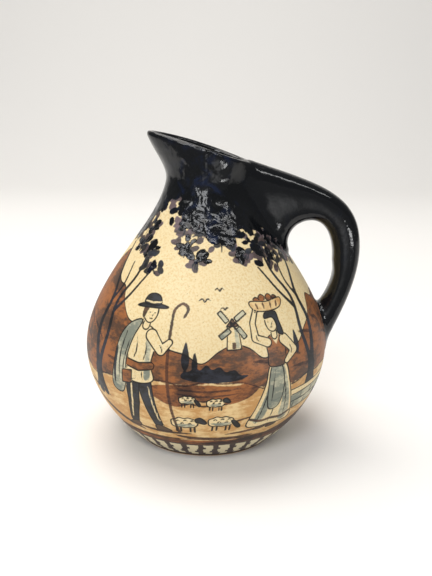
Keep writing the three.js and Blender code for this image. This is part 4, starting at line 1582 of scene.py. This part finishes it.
@dataclass(frozen=True)
class Studio:
    """A pale seamless sweep, soft boxes and the camera, which stands where the photographer stood."""

    lens: float = 43.75
    camera_place: tuple[float, float, float] = (0.00659, -0.4743, 0.2261)
    camera_fall_deg: float = 14.465
    camera_roll_deg: float = 0.56
    floor_half_width: float = 3000.0
    floor_front: float = -2500.0
    floor_back: float = 1500.0
    sweep_radius: float = 900.0
    wall_height: float = 3000.0
    paper: str = "#F3F2F0"
    room_light: float = 0.5
    room_seen: float = 0.95
    room_mirrored: float = 0.2
    cards: tuple[Card, ...] = (
        Card("card_before", (-1000.0, -150.0, 0.0), (500.0, -290.0, 330.0), 0.25, (78.0, 130.0), 45.0, 1.5),
        Card("card_above", (-900.0, -420.0, 1100.0), (900.0, -300.0, 1100.0), 9.0),
        Card("card_glint", (170.0, -190.0, 60.0), (260.0, -200.0, 135.0), 14.0),
    )
    lamps: tuple[Lamp, ...] = (
        Lamp("top_box", (-0.4, 0.3, 1.8), 1.5, 23.5, "#FFFBF6"),
        Lamp("window_box", (-0.3, -1.2, 1.15), 0.6, 9.5, "#FBFCFF"),
        Lamp("wall_box", (-0.3, 0.9, 2.3), 1.5, 8.0, "#FFFBF6", (0.0, 2.2, 0.3)),
    )

    def camera(self) -> bpy.types.Object:
        """The camera, looking along +Y and down, with a slight roll."""
        data = bpy.data.cameras.new("camera")
        data.lens, data.sensor_width, data.clip_start = self.lens, 36.0, 0.01
        made = bpy.data.objects.new("camera", data)
        tip = Matrix.Rotation(math.radians(90 - self.camera_fall_deg), 4, "X")
        roll = Matrix.Rotation(math.radians(self.camera_roll_deg), 4, "Z")
        made.matrix_world = Matrix.Translation(self.camera_place) @ tip @ roll
        bpy.context.scene.collection.objects.link(made)
        bpy.context.scene.camera = made
        return made

    def sweep(self) -> bpy.types.Object:
        """The floor that curves up behind: a line, a quarter circle and a line, carried along X."""
        turn = np.linspace(0, math.pi / 2, 33)
        run = self.floor_back + self.sweep_radius * np.sin(turn)
        rise = self.sweep_radius * (1 - np.cos(turn))
        run, rise = np.hstack([self.floor_front, run, run[-1]]), np.hstack([0.0, rise, self.wall_height])
        across = np.array([-self.floor_half_width, self.floor_half_width])
        grid = np.stack(np.broadcast_arrays(across[None], run[:, None], rise[:, None]), -1)
        row = 2 * np.arange(len(run) - 1)
        made = make_object("floor_sweep", grid.reshape(-1, 3), [np.stack([row, row + 1, row + 3, row + 2], 1)])
        made.data.shade_smooth()
        material = bpy.data.materials.new("matt_backdrop_paper")
        material.use_nodes = True
        surface = material.node_tree.nodes["Principled BSDF"]
        surface.inputs["Base Color"].default_value = linear(self.paper)
        surface.inputs["Roughness"].default_value = 0.9
        made.data.materials.append(material)
        return made

    def build(self) -> None:
        """Sets up the room's light, the sweep and cards, the lamps and the camera."""
        scene = bpy.context.scene
        scene.view_settings.view_transform = "Standard"
        world = bpy.data.worlds.new("soft_room")
        world.use_nodes = True
        tree = world.node_tree
        ways = add_node(tree, "ShaderNodeLightPath").outputs
        strength = self.room_light
        for way, level in (("Is Glossy Ray", self.room_mirrored), ("Is Camera Ray", self.room_seen)):
            strength = {"Value": ways[way], "To Min": strength, "To Max": level}
            strength = add_node(tree, "ShaderNodeMapRange", strength).outputs["Result"]
        room = tree.nodes["Background"]
        room.inputs["Color"].default_value = linear("#F5F4F2")
        tree.links.new(strength, room.inputs["Strength"])
        scene.world = world
        self.sweep()
        for card in self.cards:
            card.build()
        for lamp in self.lamps:
            lamp.build()
        self.camera()


def main() -> None:
    """Builds the pitcher and its studio, reports the piece, hangs it under the root body and hides the imported
    pitcher.
    """
    logging.basicConfig(level=logging.INFO, format="%(name)s: %(message)s")
    vessel = Vessel()
    clay = Clay(vessel, Handle(vessel))
    pitcher = clay.build()
    pitcher.data.materials.clear()
    pitcher.data.materials.append(PaintedStoneware().build())
    LOG.info("%s: %d points, %d faces", pitcher.name, len(pitcher.data.vertices), len(pitcher.data.polygons))
    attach(pitcher, "root")
    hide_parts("pitcher")
    Studio().build()
    LOG.info("studio: floor sweep, lamps and camera")


if __name__ == "__main__":
    main()
